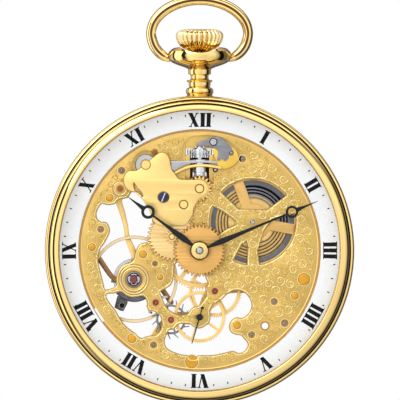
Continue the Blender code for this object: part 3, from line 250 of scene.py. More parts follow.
# near-black for painted shade in gaps, wells, holes and grooves
PAINTED_SHADE = surface("painted_shade_black", (0.015, 0.014, 0.016), 0.5, vary=0.2, vary_scale=900)
BLUED = surface("blued_steel", (0.05, 0.055, 0.10), 0.25, vary=0.15, vary_scale=900)
HAND_BLACK = surface("hand_black", (0.022, 0.024, 0.027), 0.32, metallic=0.5, vary=0.10, vary_scale=500)
HAIR_STEEL = surface("hairspring_steel", (0.30, 0.31, 0.42), 0.35, vary=0.1, vary_scale=900)
PRINT = surface("dial_print", (0.008, 0.008, 0.009), 0.45, metallic=0.0, vary=0.2, vary_scale=900)
ENAMEL = surface("white_enamel", (0.56, 0.58, 0.61), 0.45, metallic=0.0, vary=0.012, vary_scale=160,
                 rough_vary=0.03, grain=0.02, grain_scale=1500)
RUBY = surface("ruby", (0.22, 0.006, 0.012), 0.06, metallic=0.0, vary=0.2, vary_scale=1200)
for mat, socket, value in (
        # print, blackened steel and enamel hardly mirror the studio
        (PRINT, "Specular IOR Level", 0.08), (HAND_BLACK, "Specular IOR Level", 0.08),
        (ENAMEL, "Specular IOR Level", 0.08),
        # painted light: the enamel glows by its own emission so that it looks evenly lit
        (ENAMEL, "Emission Color", (0.98, 1, 1, 1)), (ENAMEL, "Emission Strength", 0.41),
        (RUBY, "Coat Weight", 0.6)):
    shader_of(mat).inputs[socket].default_value = value


def sunray(name, at):
    """Wheel gold with graining that radiates from the wheel's middle."""
    return surface(name, WHEEL_COLOUR, 0.26, vary=0.04, vary_scale=500, grain=0.5, sun_at=at)


def glass():
    """Nearly clear from the front, and greyer and more mirror-like where it is seen from the side."""
    mat, tree, shader = nodes_of("crystal_glass", (0.25, 0.27, 0.28), 0.02, 0)
    feed(tree, shader.inputs["IOR"], 1.5)
    facing = add(tree, "LayerWeight", Blend=0.25).outputs["Facing"]
    feed(tree, shader.inputs["Alpha"], spread(tree, facing, 0, 1, 0.006, 0.45))
    feed(tree, shader.inputs["Roughness"], spread(tree, noise(tree, 60), 0, 1, 0.01, 0.05))
    return mat


GLASS = glass()


# ---- flat geometry ----
def polar(radius, angle, centre=(0.0, 0.0)):
    return centre[0] + radius * math.cos(angle), centre[1] + radius * math.sin(angle)


def circle(radius, centre=(0.0, 0.0), steps=48):
    return [polar(radius, TURN * i / steps, centre) for i in range(steps)]


def arc(radius, start, end, steps, centre=(0.0, 0.0)):
    return [polar(radius, start + (end - start) * i / steps, centre) for i in range(steps + 1)]


def moved(loop, by):
    return [(x + by[0], z + by[1]) for x, z in loop]


def swung(loop, clockwise, about=(0.0, 0.0)):
    """A loop turned by so many degrees, clockwise as seen from the dial."""
    out = []
    for x, z in loop:
        x, z = x - about[0], z - about[1]
        out.append(polar(math.hypot(x, z), math.atan2(z, x) - math.radians(clockwise), about))
    return out


def spline(points, steps=4, closed=True):
    """A Catmull-Rom curve through the points."""
    n, out = len(points), []
    for i in range(n if closed else n - 1):
        ids = [(i + k) % n if closed else min(max(i + k, 0), n - 1) for k in (-1, 0, 1, 2)]
        p0, p1, p2, p3 = (points[k] for k in ids)
        for s in range(steps):
            t = s / steps
            out.append(tuple(0.5 * (2 * b + (c - a) * t + (2 * a - 5 * b + 4 * c - d) * t * t
                                    + (3 * b - a - 3 * c + d) * t ** 3) for a, b, c, d in zip(p0, p1, p2, p3)))
    return out if closed else out + [points[-1]]


def ribbon(path, half_widths, end_steps=8, smooth=4):
    """The outline of a band along a curve, with a half width at each point and round ends."""
    both = spline([(x, z, w) for (x, z), w in zip(path, half_widths)], smooth, closed=False)
    left, right, last = [], [], len(both) - 1
    for i, (x, z, half) in enumerate(both):
        a, b = both[max(i - 1, 0)], both[min(i + 1, last)]
        heading = math.atan2(b[1] - a[1], b[0] - a[0])
        left.append(polar(half, heading + math.pi / 2, (x, z)))
        right.append(polar(half, heading - math.pi / 2, (x, z)))
        if i == 0:
            start = heading
    nose = arc(both[-1][2], heading + math.pi / 2, heading - math.pi / 2, end_steps, both[-1][:2])
    tail = arc(both[0][2], start - math.pi / 2, start - 1.5 * math.pi, end_steps, both[0][:2])
    return left[1:-1] + nose + right[1:-1][::-1] + tail


def toothed(teeth, tip, root, first, lean=0.0):
    """A wheel's outline: rounded epicycloid-like teeth, the first centred on the angle `first`."""
    pitch, middle = TURN / teeth, (tip + root) / 2
    shape = [(root, -0.30), (middle, -0.20), (tip - 0.12 * (tip - root), -0.10), (tip, 0.0),
             (tip - 0.12 * (tip - root), 0.10), (middle, 0.20), (root, 0.30)]
    return [polar(r, first + (k + offset + lean * (r - root)) * pitch) for k in range(teeth) for r, offset in shape]


def spoke_windows(count, inner, outer, half_width, first, steps=10):
    """The openings between the spokes of a wheel at the origin."""
    loops = []
    for k in range(count):
        a, b = first + TURN * k / count, first + TURN * (k + 1) / count
        wide, narrow = math.asin(half_width / outer), math.asin(min(half_width / inner, 1))
        loops.append(arc(outer, a + wide, b - wide, steps) + arc(inner, b - narrow, a + narrow, max(steps // 2, 2)))
    return loops


# ---- solids, as (verts, faces) ----
def plate(loops, level, bevel=0.05, at=(0.0, 0.0), rounds=1, grow=0.0):
    """A flat outline given thickness, its edges broken: the first loop outside, the rest holes."""
    curve = bpy.data.curves.new("outline", "CURVE")
    curve.dimensions = "2D"
    curve.fill_mode = "BOTH"
    bevel = min(bevel, (level[1] - level[0]) / 2.2)
    curve.extrude = ((level[1] - level[0]) / 2 - bevel) * MM
    curve.bevel_depth = bevel * MM
    curve.bevel_resolution = rounds
    curve.offset = (grow - bevel) * MM
    for loop in loops:
        line = curve.splines.new("POLY")
        line.points.add(len(loop) - 1)
        line.use_cyclic_u = True
        for point, (x, z) in zip(line.points, loop):
            point.co = (x * MM, z * MM, 0, 1)
    drawn = bpy.data.objects.new("outline", curve)
    bpy.context.scene.collection.objects.link(drawn)
    mesh = bpy.data.meshes.new_from_object(drawn.evaluated_get(bpy.context.evaluated_depsgraph_get()))
    bpy.data.objects.remove(drawn)
    bpy.data.curves.remove(curve)
    middle = (level[0] + level[1]) / 2
    verts = [(v.co.x / MM + at[0], middle - v.co.z / MM, v.co.y / MM + at[1]) for v in mesh.vertices]
    faces = [tuple(p.vertices) for p in mesh.polygons]
    bpy.data.meshes.remove(mesh)
    return verts, faces


def lathe(profile, at=(0.0, 0.0), steps=64, along="Y"):
    """A turned solid from (radius, height) points; ends on the axis close it, else it is a ring."""
    verts, rings = [], []
    for r, h in profile:
        if r < 1e-6:
            rings.append([len(verts)] * steps)
            verts.append((0, h, 0))
        else:
            rings.append(list(range(len(verts), len(verts) + steps)))
            verts += [(r * math.cos(TURN * i / steps), h, r * math.sin(TURN * i / steps)) for i in range(steps)]
    faces = []
    ring = min(r for r, _ in profile) > 1e-6
    pairs = list(zip(rings, rings[1:])) + ([(rings[-1], rings[0])] if ring else [])
    for a, b in pairs:
        for i in range(steps):
            j = (i + 1) % steps
            face = tuple(dict.fromkeys((a[i], a[j], b[j], b[i])))
            if len(face) > 2:
                faces.append(face)
    if along == "Z":
        return [(z + at[0], -x, y + at[1]) for x, y, z in verts], faces
    return [(x + at[0], y, z + at[1]) for x, y, z in verts], faces


def rod(at, radius, ends, steps):
    """A plain turned rod along Y."""
    return lathe([(0, ends[0]), (radius, ends[0]), (radius, ends[1]), (0, ends[1])], at, steps)


def hoop(at, radii, ends, steps):
    """A plain turned ring along Y."""
    return lathe([(radii[0], ends[0]), (radii[1], ends[0]), (radii[1], ends[1]), (radii[0], ends[1])], at, steps)


def bead(at, radii, foot, crest, steps=28):
    """A low ring with sloping sides: a radius for a foot, for both edges of the crest, and for the other foot."""
    return lathe(list(zip(radii, (foot, crest, crest, foot))), at, steps)


def stud(at, radius, foot, top, steps=32, edge=0.06):
    """A plain stud towards -Y with a broken edge."""
    return lathe([(0, foot), (radius, foot), (radius, top + 0.07), (radius - edge, top + 0.01),
                  (0, top)], at, steps)


def tube(path, radii, sides=16):
    """A round wire along (x, y, z) points."""
    verts, faces = [], []
    points = [Vector(p) for p in path]
    side = Vector((0, 1, 0))
    for i, point in enumerate(points):
        along = (points[min(i + 1, len(points) - 1)] - points[max(i - 1, 0)]).normalized()
        side = (side - along * side.dot(along)).normalized()
        other = along.cross(side)
        for k in range(sides):
            a = TURN * k / sides
            verts.append(tuple(point + (side * math.cos(a) + other * math.sin(a)) * radii[i]))
    for i in range(len(points) - 1):
        for k in range(sides):
            j = (k + 1) % sides
            faces.append((i * sides + k, i * sides + j, (i + 1) * sides + j, (i + 1) * sides + k))
    faces.append(tuple(range(sides)))
    faces.append(tuple(len(verts) - sides + k for k in range(sides))[::-1])
    return verts, faces


def ridge(path, half_widths, base, height):
    """A raised line with a rounded back on a surface at y = base; height is towards -Y if positive."""
    verts, faces = [], []
    last = len(path) - 1
    for i, (x, z) in enumerate(path):
        a, b = path[max(i - 1, 0)], path[min(i + 1, last)]
        heading = math.atan2(b[1] - a[1], b[0] - a[0]) + math.pi / 2
        half = max(half_widths[i], 0.004)
        lift = height * min(half / max(half_widths), 1) ** 0.7
        for offset, up in ((1, -0.02), (0.62, 0.72), (0, 1), (-0.62, 0.72), (-1, -0.02)):
            px, pz = polar(half * offset, heading, (x, z))
            verts.append((px, base - lift * up, pz))
    for i in range(last):
        for k in range(4):
            a = 5 * i + k
            faces.append((a, a + 1, a + 6, a + 5))
        faces.append((5 * i + 4, 5 * i, 5 * i + 5, 5 * i + 9))
    faces += [tuple(range(5))[::-1], tuple(5 * last + k for k in range(5))]
    return verts, faces


def dome(at, radius, base, height, rings=4, sides=16):
    """A round button on y = base, rising towards -Y when height is positive."""
    foot = base + math.copysign(0.02, height)
    quarter = [i / rings * math.pi / 2 for i in range(rings)]
    profile = [(radius * math.cos(a), base - height * math.sin(a)) for a in quarter]
    return lathe([(0, foot), (radius, foot), *profile, (0, base - height)], at, sides)


def joined(*solids):
    """Several solids as one."""
    verts, faces = [], []
    for more, shape in solids:
        start = len(verts)
        verts += more
        faces += [tuple(i + start for i in face) for face in shape]
    return verts, faces


def mesh_of(name, solid, sharp=30):
    """A mesh in metres in the shared frame, smooth but for edges sharper than so many degrees."""
    verts, faces = solid
    mesh = bpy.data.meshes.new(name)
    mesh.from_pydata([(x * MM, y * MM, (z + HAND_Z) * MM) for x, y, z in verts], [], faces)
    bm = bmesh.new()
    bm.from_mesh(mesh)
    bmesh.ops.remove_doubles(bm, verts=bm.verts, dist=2e-7)
    bmesh.ops.recalc_face_normals(bm, faces=bm.faces)
    bm.to_mesh(mesh)
    bm.free()
    mesh.shade_smooth()
    mesh.set_sharp_from_angle(angle=math.radians(sharp))
    return mesh


def piece(name, solid, mat, body, slot, *stands_for, sharp=30):
    """Adds a visible piece: the body it rides on and the CAD nodes it is seen instead of; its material slot is not
    used.
    """
    obj = bpy.data.objects.new(name, mesh_of(name, solid, sharp))
    bpy.context.scene.collection.objects.link(obj)
    obj.data.materials.append(mat)
    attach(obj, body)
    if stands_for:
        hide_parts(*stands_for)
    return obj


def carve(obj, *solids):
    """Cuts solids out of a piece and leaves a plain mesh."""
    for solid in solids:
        cutter = bpy.data.objects.new("cutter", mesh_of("cutter", solid))
        bpy.context.scene.collection.objects.link(cutter)
        cut = obj.modifiers.new("cut", "BOOLEAN")
        cut.operation = "DIFFERENCE"
        cut.solver = "EXACT"
        cut.object = cutter
        mesh = bpy.data.meshes.new_from_object(obj.evaluated_get(bpy.context.evaluated_depsgraph_get()))
        obj.modifiers.clear()
        obj.data = mesh
        bpy.data.objects.remove(cutter)
    obj.data.shade_smooth()
    obj.data.set_sharp_from_angle(angle=math.radians(28))
    return obj


def screw(at, radius, top, seat, lean, depth=0.16, half_slot=0.1):
    """A slotted round head, its top at y = top and its seat further in; works facing either way."""
    way = 1 if seat > top else -1
    floor = top + way * depth
    body = lathe([(0, seat), (radius, seat), (radius, top + way * 0.07), (radius - 0.07, floor - way * 0.001),
                  (0, floor)], at, 32)
    halves = []
    reach = math.asin(half_slot / radius)
    for side in (0, math.pi):
        turn = side + math.radians(lean)
        outline = arc(radius - 0.02, turn + reach, turn + math.pi - reach, 14)
        halves.append(plate([moved(outline, at)], tuple(sorted((top, floor + way * 0.02))), 0.035))
    return joined(body, *halves)


def driven(name, at, head, shank, mat, slot, node, body="case"):
    """A whole screw: head as in `screw`, shank as (radius, its ends, steps)."""
    radius, ends, *steps = shank
    piece(name, joined(screw(at, *head), rod(at, radius, ends, *(steps or [16]))), mat, body, slot, node)


def shadow(name, loops, level, grow, body, slot, bevel=0.001):
    """The dark line round a piece: its outline again just behind it, wider by `grow`."""
    piece(name, plate(loops, level, bevel, rounds=0, grow=grow), GROOVE_AND_SHADE_GOLD, body, slot)


# ---- case ----
def build_case():
    front, rear = levels("case_middle")
    band = [(22.9, front), (23.02, front + 0.25), (23.1, -1.2), (23.14, 0), (23.1, 1.2), (23.02, rear - 0.25),
            (22.9, rear), (18.85, rear), (18.85, -1.4), (21.55, -1.4), (21.55, front)]
    piece("case_band", lathe(band, steps=160), CASE_GOLD, "case", "polished_gold", "case_middle", sharp=40)
    front = [(21.4, -2.66), (23.22, -2.66), (23.44, -2.82), (23.5, -3.1), (23.49, -3.4), (23.42, -3.62),
             (23.3, -3.78), (23.12, -3.87), (23.0, -3.9), (22.96, -3.82), (22.82, -3.82), (22.8, -4.0),
             (22.72, -4.24), (22.56, -4.45), (22.38, -4.6), (22.18, -4.73), (21.98, -4.83), (21.8, -4.9),
             (21.64, -4.94), (21.5, -4.95), (21.4, -4.9), (21.36, -4.82), (21.36, -4.72), (21.8, -4.68),
             (21.8, -3.9), (21.4, -3.9)]
    piece("front_bezel_ring", lathe(front, steps=200), CASE_GOLD, "case", "polished_gold", "front_bezel", sharp=50)
    # a dark ring laid in the bezel's groove: painted shade and painted reflection
    line = [(22.79, -3.78), (22.79, -3.9), (22.86, -3.93), (22.96, -3.9), (23.0, -3.86), (23.0, -3.78)]
    piece("front_bezel_groove_shade", lathe(line, steps=200), PAINTED_SHADE, "case", "polished_gold", sharp=60)
    back = [(21.4, 2.66), (23.22, 2.66), (23.44, 2.85), (23.5, 3.15), (23.46, 3.5), (23.3, 4.0), (23.0, 4.5),
            (22.7, 4.85), (22.5, 4.98), (22.35, 5.0), (21.45, 5.0), (21.36, 4.92), (21.36, 4.72), (21.8, 4.68),
            (21.8, 3.9), (21.4, 3.9)]
    piece("back_bezel_ring", lathe(back, steps=200), CASE_GOLD, "case", "polished_gold", "back_bezel", sharp=35)
    domed = [(0, -4.75), (12, -4.58), (21.72, -3.98), (21.72, -4.55)] + [
        (r, -5.42 + 0.83 * (r / 21.6) ** 2) for r in (21.5, 19, 16, 12, 8, 4)] + [(0, -5.42)]
    piece("front_glass", lathe(domed, steps=128), GLASS, "case", "crystal_glass", "front_crystal", sharp=60)
    flat = [(0, 4.0), (21.72, 4.0), (21.72, 4.55), (21.6, 4.62), (0, 4.62)]
    piece("back_glass", lathe(flat, steps=128), GLASS, "case", "crystal_glass", "back_crystal", sharp=40)


def build_pendant():
    outer = [(1.24, 19.4), (1.24, 23.0), (2.08, 23.05), (2.14, 23.2), (2.1, 23.5), (1.98, 23.62), (1.86, 23.68),
             (1.98, 23.78), (2.1, 24.05), (2.13, 24.3), (2.04, 24.62), (1.82, 24.8), (1.56, 24.88), (1.63, 25.0),
             (1.68, 25.3), (1.68, 25.6), (1.9, 25.7), (2.0, 25.83), (1.92, 25.96), (1.52, 26.02), (1.38, 26.18),
             (1.36, 26.6), (1.44, 26.74), (1.68, 26.8), (1.74, 26.95), (1.74, 27.5), (1.85, 27.66), (2.5, 27.92),
             (3.4, 28.2), (4.2, 28.56), (4.66, 28.9), (4.84, 29.3), (4.86, 29.8), (4.72, 30.3), (4.3, 30.72),
             (3.95, 30.9), (3.65, 30.92), (3.45, 30.75), (3.3, 30.4), (3.05, 29.95), (2.7, 29.74), (0.65, 29.7),
             (0.65, 19.4)]
    neck = piece("pendant_neck", lathe(outer, steps=96, along="Z"), CASE_GOLD, "case", "polished_gold", "pendant",
                 sharp=32)
    pits = []
    for side in (-1, 1):
        verts, faces = lathe([(0, 3.75), (0.62, 3.75), (0.62, 8), (0, 8)], steps=24)
        pits.append(([(side * h, x, z + BOW_PIVOT_Z) for x, h, z in verts], faces))
    saddle = rod((0, 35.22), 5.25, (-8, 8), 96)
    carve(neck, saddle, *pits)


def build_bow():
    """The loop's right half, from its top round to the pin in the pendant, mirrored."""
    half = [(7.4 * math.sin(a), 33.0 + 5.16 * math.cos(a), 0.76 + 0.05 * math.sin(2 * a) ** 2)
            for a in (math.pi / 18 * k for k in range(10))]
    half += [(7.25, 32.1, 0.79), (6.95, 31.25, 0.8), (6.5, 30.55, 0.8), (5.95, 29.98, 0.78), (5.4, 29.58, 0.7),
             (5.0, 29.36, 0.58), (4.7, 29.27, 0.52), (4.3, 29.25, 0.5), (3.95, 29.25, 0.48)]
    whole = [(-x, z, r) for x, z, r in half[:0:-1]] + half
    fine = spline(whole, 5, closed=False)
    solid = tube([(x, 0, z) for x, z, _ in fine], [r for _, _, r in fine], 24)
    piece("bow_wire", solid, BOW_GOLD, "bow", "polished_gold", "bow", sharp=40)


def build_crown():
    """An onion crown: rounded flutes between a plain foot and a plain button, from (z, radius, flutes' depth)."""
    flutes, per, deepest, widest = 26, 8, 0.5, 3.6
    profile = [(30.05, 0.7, 0), (30.12, 1.1, 0.1), (30.3, 1.5, 0.4), (30.55, 2.0, 0.7), (30.8, 2.5, 0.9),
               (31.15, 2.98, 1), (31.6, 3.32, 1), (32.1, 3.56, 1), (32.6, 3.65, 1), (33.0, 3.6, 1),
               (33.3, 3.38, 0.9), (33.52, 3.05, 0.6), (33.66, 2.55, 0.25), (33.75, 1.6, 0), (33.76, 0.8, 0)]
    verts, faces = [], []
    steps = flutes * per
    for z, radius, depth in profile:
        for i in range(steps):
            wave = abs(math.sin(math.pi * i / per)) ** 0.7
            r = radius - deepest * depth * (1 - wave) * radius / widest
            verts.append((r * math.cos(TURN * i / steps), -r * math.sin(TURN * i / steps), z))
    for k in range(len(profile) - 1):
        for i in range(steps):
            j = (i + 1) % steps
            faces.append((k * steps + i, k * steps + j, (k + 1) * steps + j, (k + 1) * steps + i))
    faces += [tuple(range(steps))[::-1], tuple((len(profile) - 1) * steps + i for i in range(steps))]
    piece("crown_onion", (verts, faces), CROWN_GOLD, "stem", "polished_gold", "crown", sharp=50)
    # dark wires along the bottoms of the flutes: painted shade
    lines = []
    for k in range(flutes):
        a = TURN * k / flutes
        groove = [(radius * (1 - deepest * depth / widest), z) for z, radius, depth in profile[5:12]]
        lines.append(tube([(r * math.cos(a), -r * math.sin(a), z) for r, z in groove],
                          [0.02] + [0.024 * r for r, _ in groove[1:-1]] + [0.02], 6))
    piece("crown_flute_shade_lines", joined(*lines), FLUTE_SHADE_UMBER, "stem", "polished_gold")


# ---- dial ----
NUMERALS = ["XII", "I", "II", "III", "IIII", "V", "VI", "VII", "VIII", "IX", "X", "XI"]
NUMERAL_FOOT, NUMERAL_HEIGHT = 18.78, 2.14
THICK, THIN, SERIF = 0.60, 0.17, 0.14
ADVANCE = {"I": 0.88, "V": 1.72, "X": 1.80}


def letter(kind, left):
    """Closed outlines of one numeral stroke group, standing on 0, its left edge at `left`."""
    top = NUMERAL_HEIGHT
    middle = left + ADVANCE[kind] / 2
    shapes = []

    def serif(centre, half, z):
        low, high = centre - half, centre + half
        shapes.append([(low, z), (high, z), (high, z + SERIF), (low, z + SERIF)])

    def stroke(x0, x1, half):
        shapes.append([(x0 - half, top - 0.02), (x1 - half, 0.02), (x1 + half, 0.02), (x0 + half, top - 0.02)])

    if kind == "I":
        stroke(middle, middle, THICK / 2)
        serif(middle, 0.42, 0)
        serif(middle, 0.42, top - SERIF)
    elif kind == "V":
        stroke(middle - 0.50, middle + 0.02, THICK / 2)
        stroke(middle + 0.52, middle + 0.06, THIN / 2)
        serif(middle - 0.50, 0.36, top - SERIF)
        serif(middle + 0.54, 0.26, top - SERIF)
    else:
        stroke(middle - 0.44, middle + 0.44, THICK / 2)
        stroke(middle + 0.50, middle - 0.50, THIN / 2)
        for x, z in ((-0.44, top - SERIF), (0.44, 0)):
            serif(middle + x, 0.34, z)
        for x, z in ((0.52, top - SERIF), (-0.52, 0)):
            serif(middle + x, 0.24, z)
    return shapes


def build_dial():
    front, rear = levels("chapter_ring")
    ring = [(18.45, rear), (18.45, front + 0.12), (18.5, front + 0.03), (18.6, front), (21.25, front),
            (21.35, front + 0.06), (21.35, rear)]
    piece("dial_ring", lathe(ring, steps=200), ENAMEL, "case", "white_enamel", "chapter_ring", sharp=40)
    prints = []
    ink = (front - 0.012, front + 0.004)
    for hour, text in enumerate(NUMERALS):
        width = sum(ADVANCE[c] for c in text)
        left = -width / 2
        for c in text:
            for shape in letter(c, left):
                up = [(x * (1 + 0.06 * z / NUMERAL_HEIGHT), z + NUMERAL_FOOT) for x, z in shape]
                prints.append(plate([swung(up, 30 * hour)], ink, 0.001, rounds=0))
            left += ADVANCE[c]
    for minute in range(60):
        if minute % 5:
            dash = [(-0.08, 20.42), (0.08, 20.42), (0.08, 20.76), (-0.08, 20.76)]
            prints.append(plate([swung(dash, 6 * minute)], ink, 0.001, rounds=0))
    piece("dial_numerals", joined(*prints), PRINT, "case", "black_steel")
    gutter = [(21.3, front + 0.3), (21.3, front - 0.02), (21.42, front - 0.12), (21.56, front - 0.12),
              (21.56, front + 0.3)]
    piece("dial_border", lathe(gutter, steps=200), PLAIN_GOLD, "case", "polished_gold")


# ---- mainplate ----
OPENINGS = [
    [(-15.0, 7.1), (-15.7, 5.9), (-15.65, 4.9), (-15.1, 4.35), (-14.3, 4.25), (-13.9, 3.8), (-13.7, 3.0),
     (-14.0, 2.1), (-14.6, 1.0), (-15.15, 0.2), (-15.5, -1.3), (-15.3, -2.6), (-14.9, -4.2), (-14.6, -5.4),
     (-14.3, -6.05), (-12.75, -5.5), (-12.7, -4.3), (-12.4, -3.2), (-11.6, -2.25), (-10.4, -1.8), (-10.0, -1.3),
     (-9.85, -0.6), (-9.4, 0.5), (-8.8, 1.05), (-7.6, 1.4), (-7.0, 3.0), (-7.25, 5.0), (-7.95, 7.2), (-9.1, 8.6),
     (-9.8, 9.0), (-10.4, 8.9), (-11.0, 8.05), (-12.3, 7.8), (-12.9, 7.15), (-13.7, 6.95), (-14.5, 7.05)],
    [(-14.1, -6.6), (-13.0, -6.5), (-12.0, -6.25), (-11.2, -6.8), (-10.3, -7.1), (-9.3, -7.0), (-8.6, -6.9),
     (-8.2, -7.3), (-7.95, -8.0), (-8.0, -8.6), (-7.6, -9.2), (-6.9, -9.25), (-5.95, -10.0), (-5.8, -10.6),
     (-5.7, -11.4), (-6.0, -12.3), (-6.6, -12.9), (-7.4, -13.0), (-8.2, -13.2), (-8.8, -13.4), (-9.3, -13.2),
     (-9.9, -12.6), (-10.6, -12.1), (-11.4, -11.4), (-12.2, -10.3), (-12.8, -9.2), (-13.6, -8.2), (-14.2, -7.2)],
    [(-4.7, -12.1), (-4.0, -12.0), (-3.5, -11.45), (-3.0, -11.15), (-2.2, -11.1), (-1.5, -11.15), (-1.1, -11.45),
     (-0.5, -11.75), (0.2, -11.8), (1.2, -11.2), (1.55, -10.6), (1.6, -9.7), (1.55, -9.1), (2.1, -8.2), (2.8, -7.8),
     (3.5, -7.3), (4.0, -6.8), (4.7, -6.3), (5.4, -6.05), (6.4, -6.15), (7.2, -6.7), (7.8, -7.6), (7.95, -8.6),
     (7.6, -9.5), (7.0, -10.1), (6.4, -10.35), (5.6, -10.25), (5.0, -10.6), (4.6, -11.2), (4.55, -11.9),
     (4.9, -12.5), (5.6, -12.8), (6.3, -12.9), (6.9, -13.5), (7.4, -14.3), (7.1, -15.1), (6.5, -15.6),
     (5.8, -15.65), (5.0, -15.35), (4.0, -15.6), (2.0, -16.0), (-0.2, -16.05), (-0.4, -16.5), (-1.45, -16.5),
     (-1.65, -16.05), (-2.8, -15.9), (-4.0, -15.5), (-4.9, -15.0), (-5.35, -14.2), (-5.3, -13.4), (-5.0, -12.7)],
    [(-3.0, -1.5), (-3.6, -1.9), (-3.9, -2.6), (-3.95, -3.6), (-4.1, -4.6), (-4.5, -5.3), (-5.2, -5.8),
     (-6.05, -6.35), (-5.7, -7.3), (-5.4, -8.1), (-4.9, -8.9), (-4.3, -9.3), (-3.7, -9.7), (-3.0, -9.9),
     (-1.9, -9.75), (-1.6, -9.5), (-1.3, -9.0), (-0.8, -8.65), (0.0, -8.45), (0.3, -8.1), (0.8, -7.4),
     (1.1, -6.8), (0.9, -6.2), (1.0, -5.6), (1.35, -5.1), (1.0, -4.3), (0.75, -3.3), (0.0, -3.1), (-1.2, -3.0),
     (-2.3, -2.3)],
]
SPRING_WINDOWS = [  # outlines of the four openings over the mainspring: angles at the barrel axis, inner corners
    (38, 137, 6.6, [(5.9, 6.3), (10.3, 6.15)]), (-81, 12, 6.6, [(11.0, 4.75), (9.75, 2.9), (8.8, 0.0)]),
    (-117, -97, 6.6, [(7.35, 0.6), (7.15, 1.5), (6.4, 0.9)]),
    (158, 204, 6.6, [(4.1, 3.2), (5.7, 3.9), (5.5, 4.5), (3.5, 6.0)]),
]
KEYLESS_POCKET = [
    (-10.4, 13.0), (-9.9, 14.2), (-8.9, 15.05), (-7.8, 15.2), (-6.5, 14.8), (-5.6, 13.9), (-4.6, 13.75),
    (-3.4, 13.9), (-2.75, 14.6), (-2.6, 15.8), (-2.0, 16.8), (-0.9, 17.4), (1.5, 17.55), (3.6, 17.1),
    (5.2, 16.1), (6.05, 14.9), (6.0, 13.7), (5.2, 12.7), (3.6, 11.9), (1.6, 11.5), (-2.0, 11.5), (-5.0, 10.9),
    (-8.5, 11.1), (-10.1, 11.8),
]
# round things let into the plate, as (place, radius)
STEEL_SCREWS = [((-11.86, 12.14), 0.45), ((6.54, 13.92), 0.42), ((-15.04, 3.22), 0.42), ((11.35, -7.78), 0.42),
                ((12.95, -11.07), 0.46), ((7.91, -12.83), 0.42), ((-7.0, -14.4), 0.42), ((-6.79, -2.01), 0.34)]
GOLD_POCKETS = [((-13.7, 8.0), 0.5), ((-16.4, 0.5), 0.5), ((-10.3, -13.4), 0.6), ((5.72, -11.4), 0.5),
                ((14.5, -6.9), 0.5), ((-8.6, -0.6), 0.5), ((-6.0, -4.1), 0.38), ((15.9, -4.4), 0.85),
                ((-1.2, -16.95), 0.9)]
COPPER_POCKETS = [((-12.08, 9.41), 0.5), ((-6.82, 14.98), 0.42)]
THROUGH = [((9.96, -11.5), 0.58)]
COVER = [
    (-6.22, 14.72), (-5.55, 14.88), (-4.93, 14.5), (-4.6, 13.8), (-4.45, 13.0), (-4.25, 12.2), (-3.9, 11.8),
    (-3.5, 11.2), (-3.1, 10.85), (-2.4, 10.72), (-1.0, 10.72), (0.4, 10.65), (1.0, 10.2), (1.3, 9.5),
    (1.1, 8.75), (0.55, 8.25), (0.0, 7.95), (-0.5, 7.2), (-0.95, 6.4), (-1.05, 5.6), (-1.4, 4.95), (-1.8, 4.25),
    (-2.25, 3.9), (-3.1, 3.8), (-5.0, 3.8), (-6.2, 3.9), (-6.9, 4.35), (-7.3, 5.0), (-7.6, 6.0), (-8.3, 7.2),
    (-9.2, 8.45), (-9.7, 8.85), (-10.26, 8.97), (-11.0, 9.35), (-11.5, 10.3), (-11.4, 11.3), (-10.75, 12.05),
    (-9.7, 12.1), (-8.95, 12.5), (-8.1, 13.3), (-7.2, 13.95),
]
COVER_SLOT = [(-10.0, 10.35), (-9.7, 9.95), (-9.2, 9.35), (-8.7, 8.7), (-8.55, 8.2), (-8.8, 8.1), (-9.3, 8.3),
              (-9.75, 8.8), (-10.0, 9.45), (-10.12, 10.0)]


def window_loops():
    """The openings over the mainspring, each a stretch of one circle closed by its inner corners."""
    loops = []
    for start, end, radius, inner in SPRING_WINDOWS:
        rim = arc(radius, math.radians(start), math.radians(end), max(6, (end - start) // 4), BARREL)
        loops.append(rim + inner)
    return loops


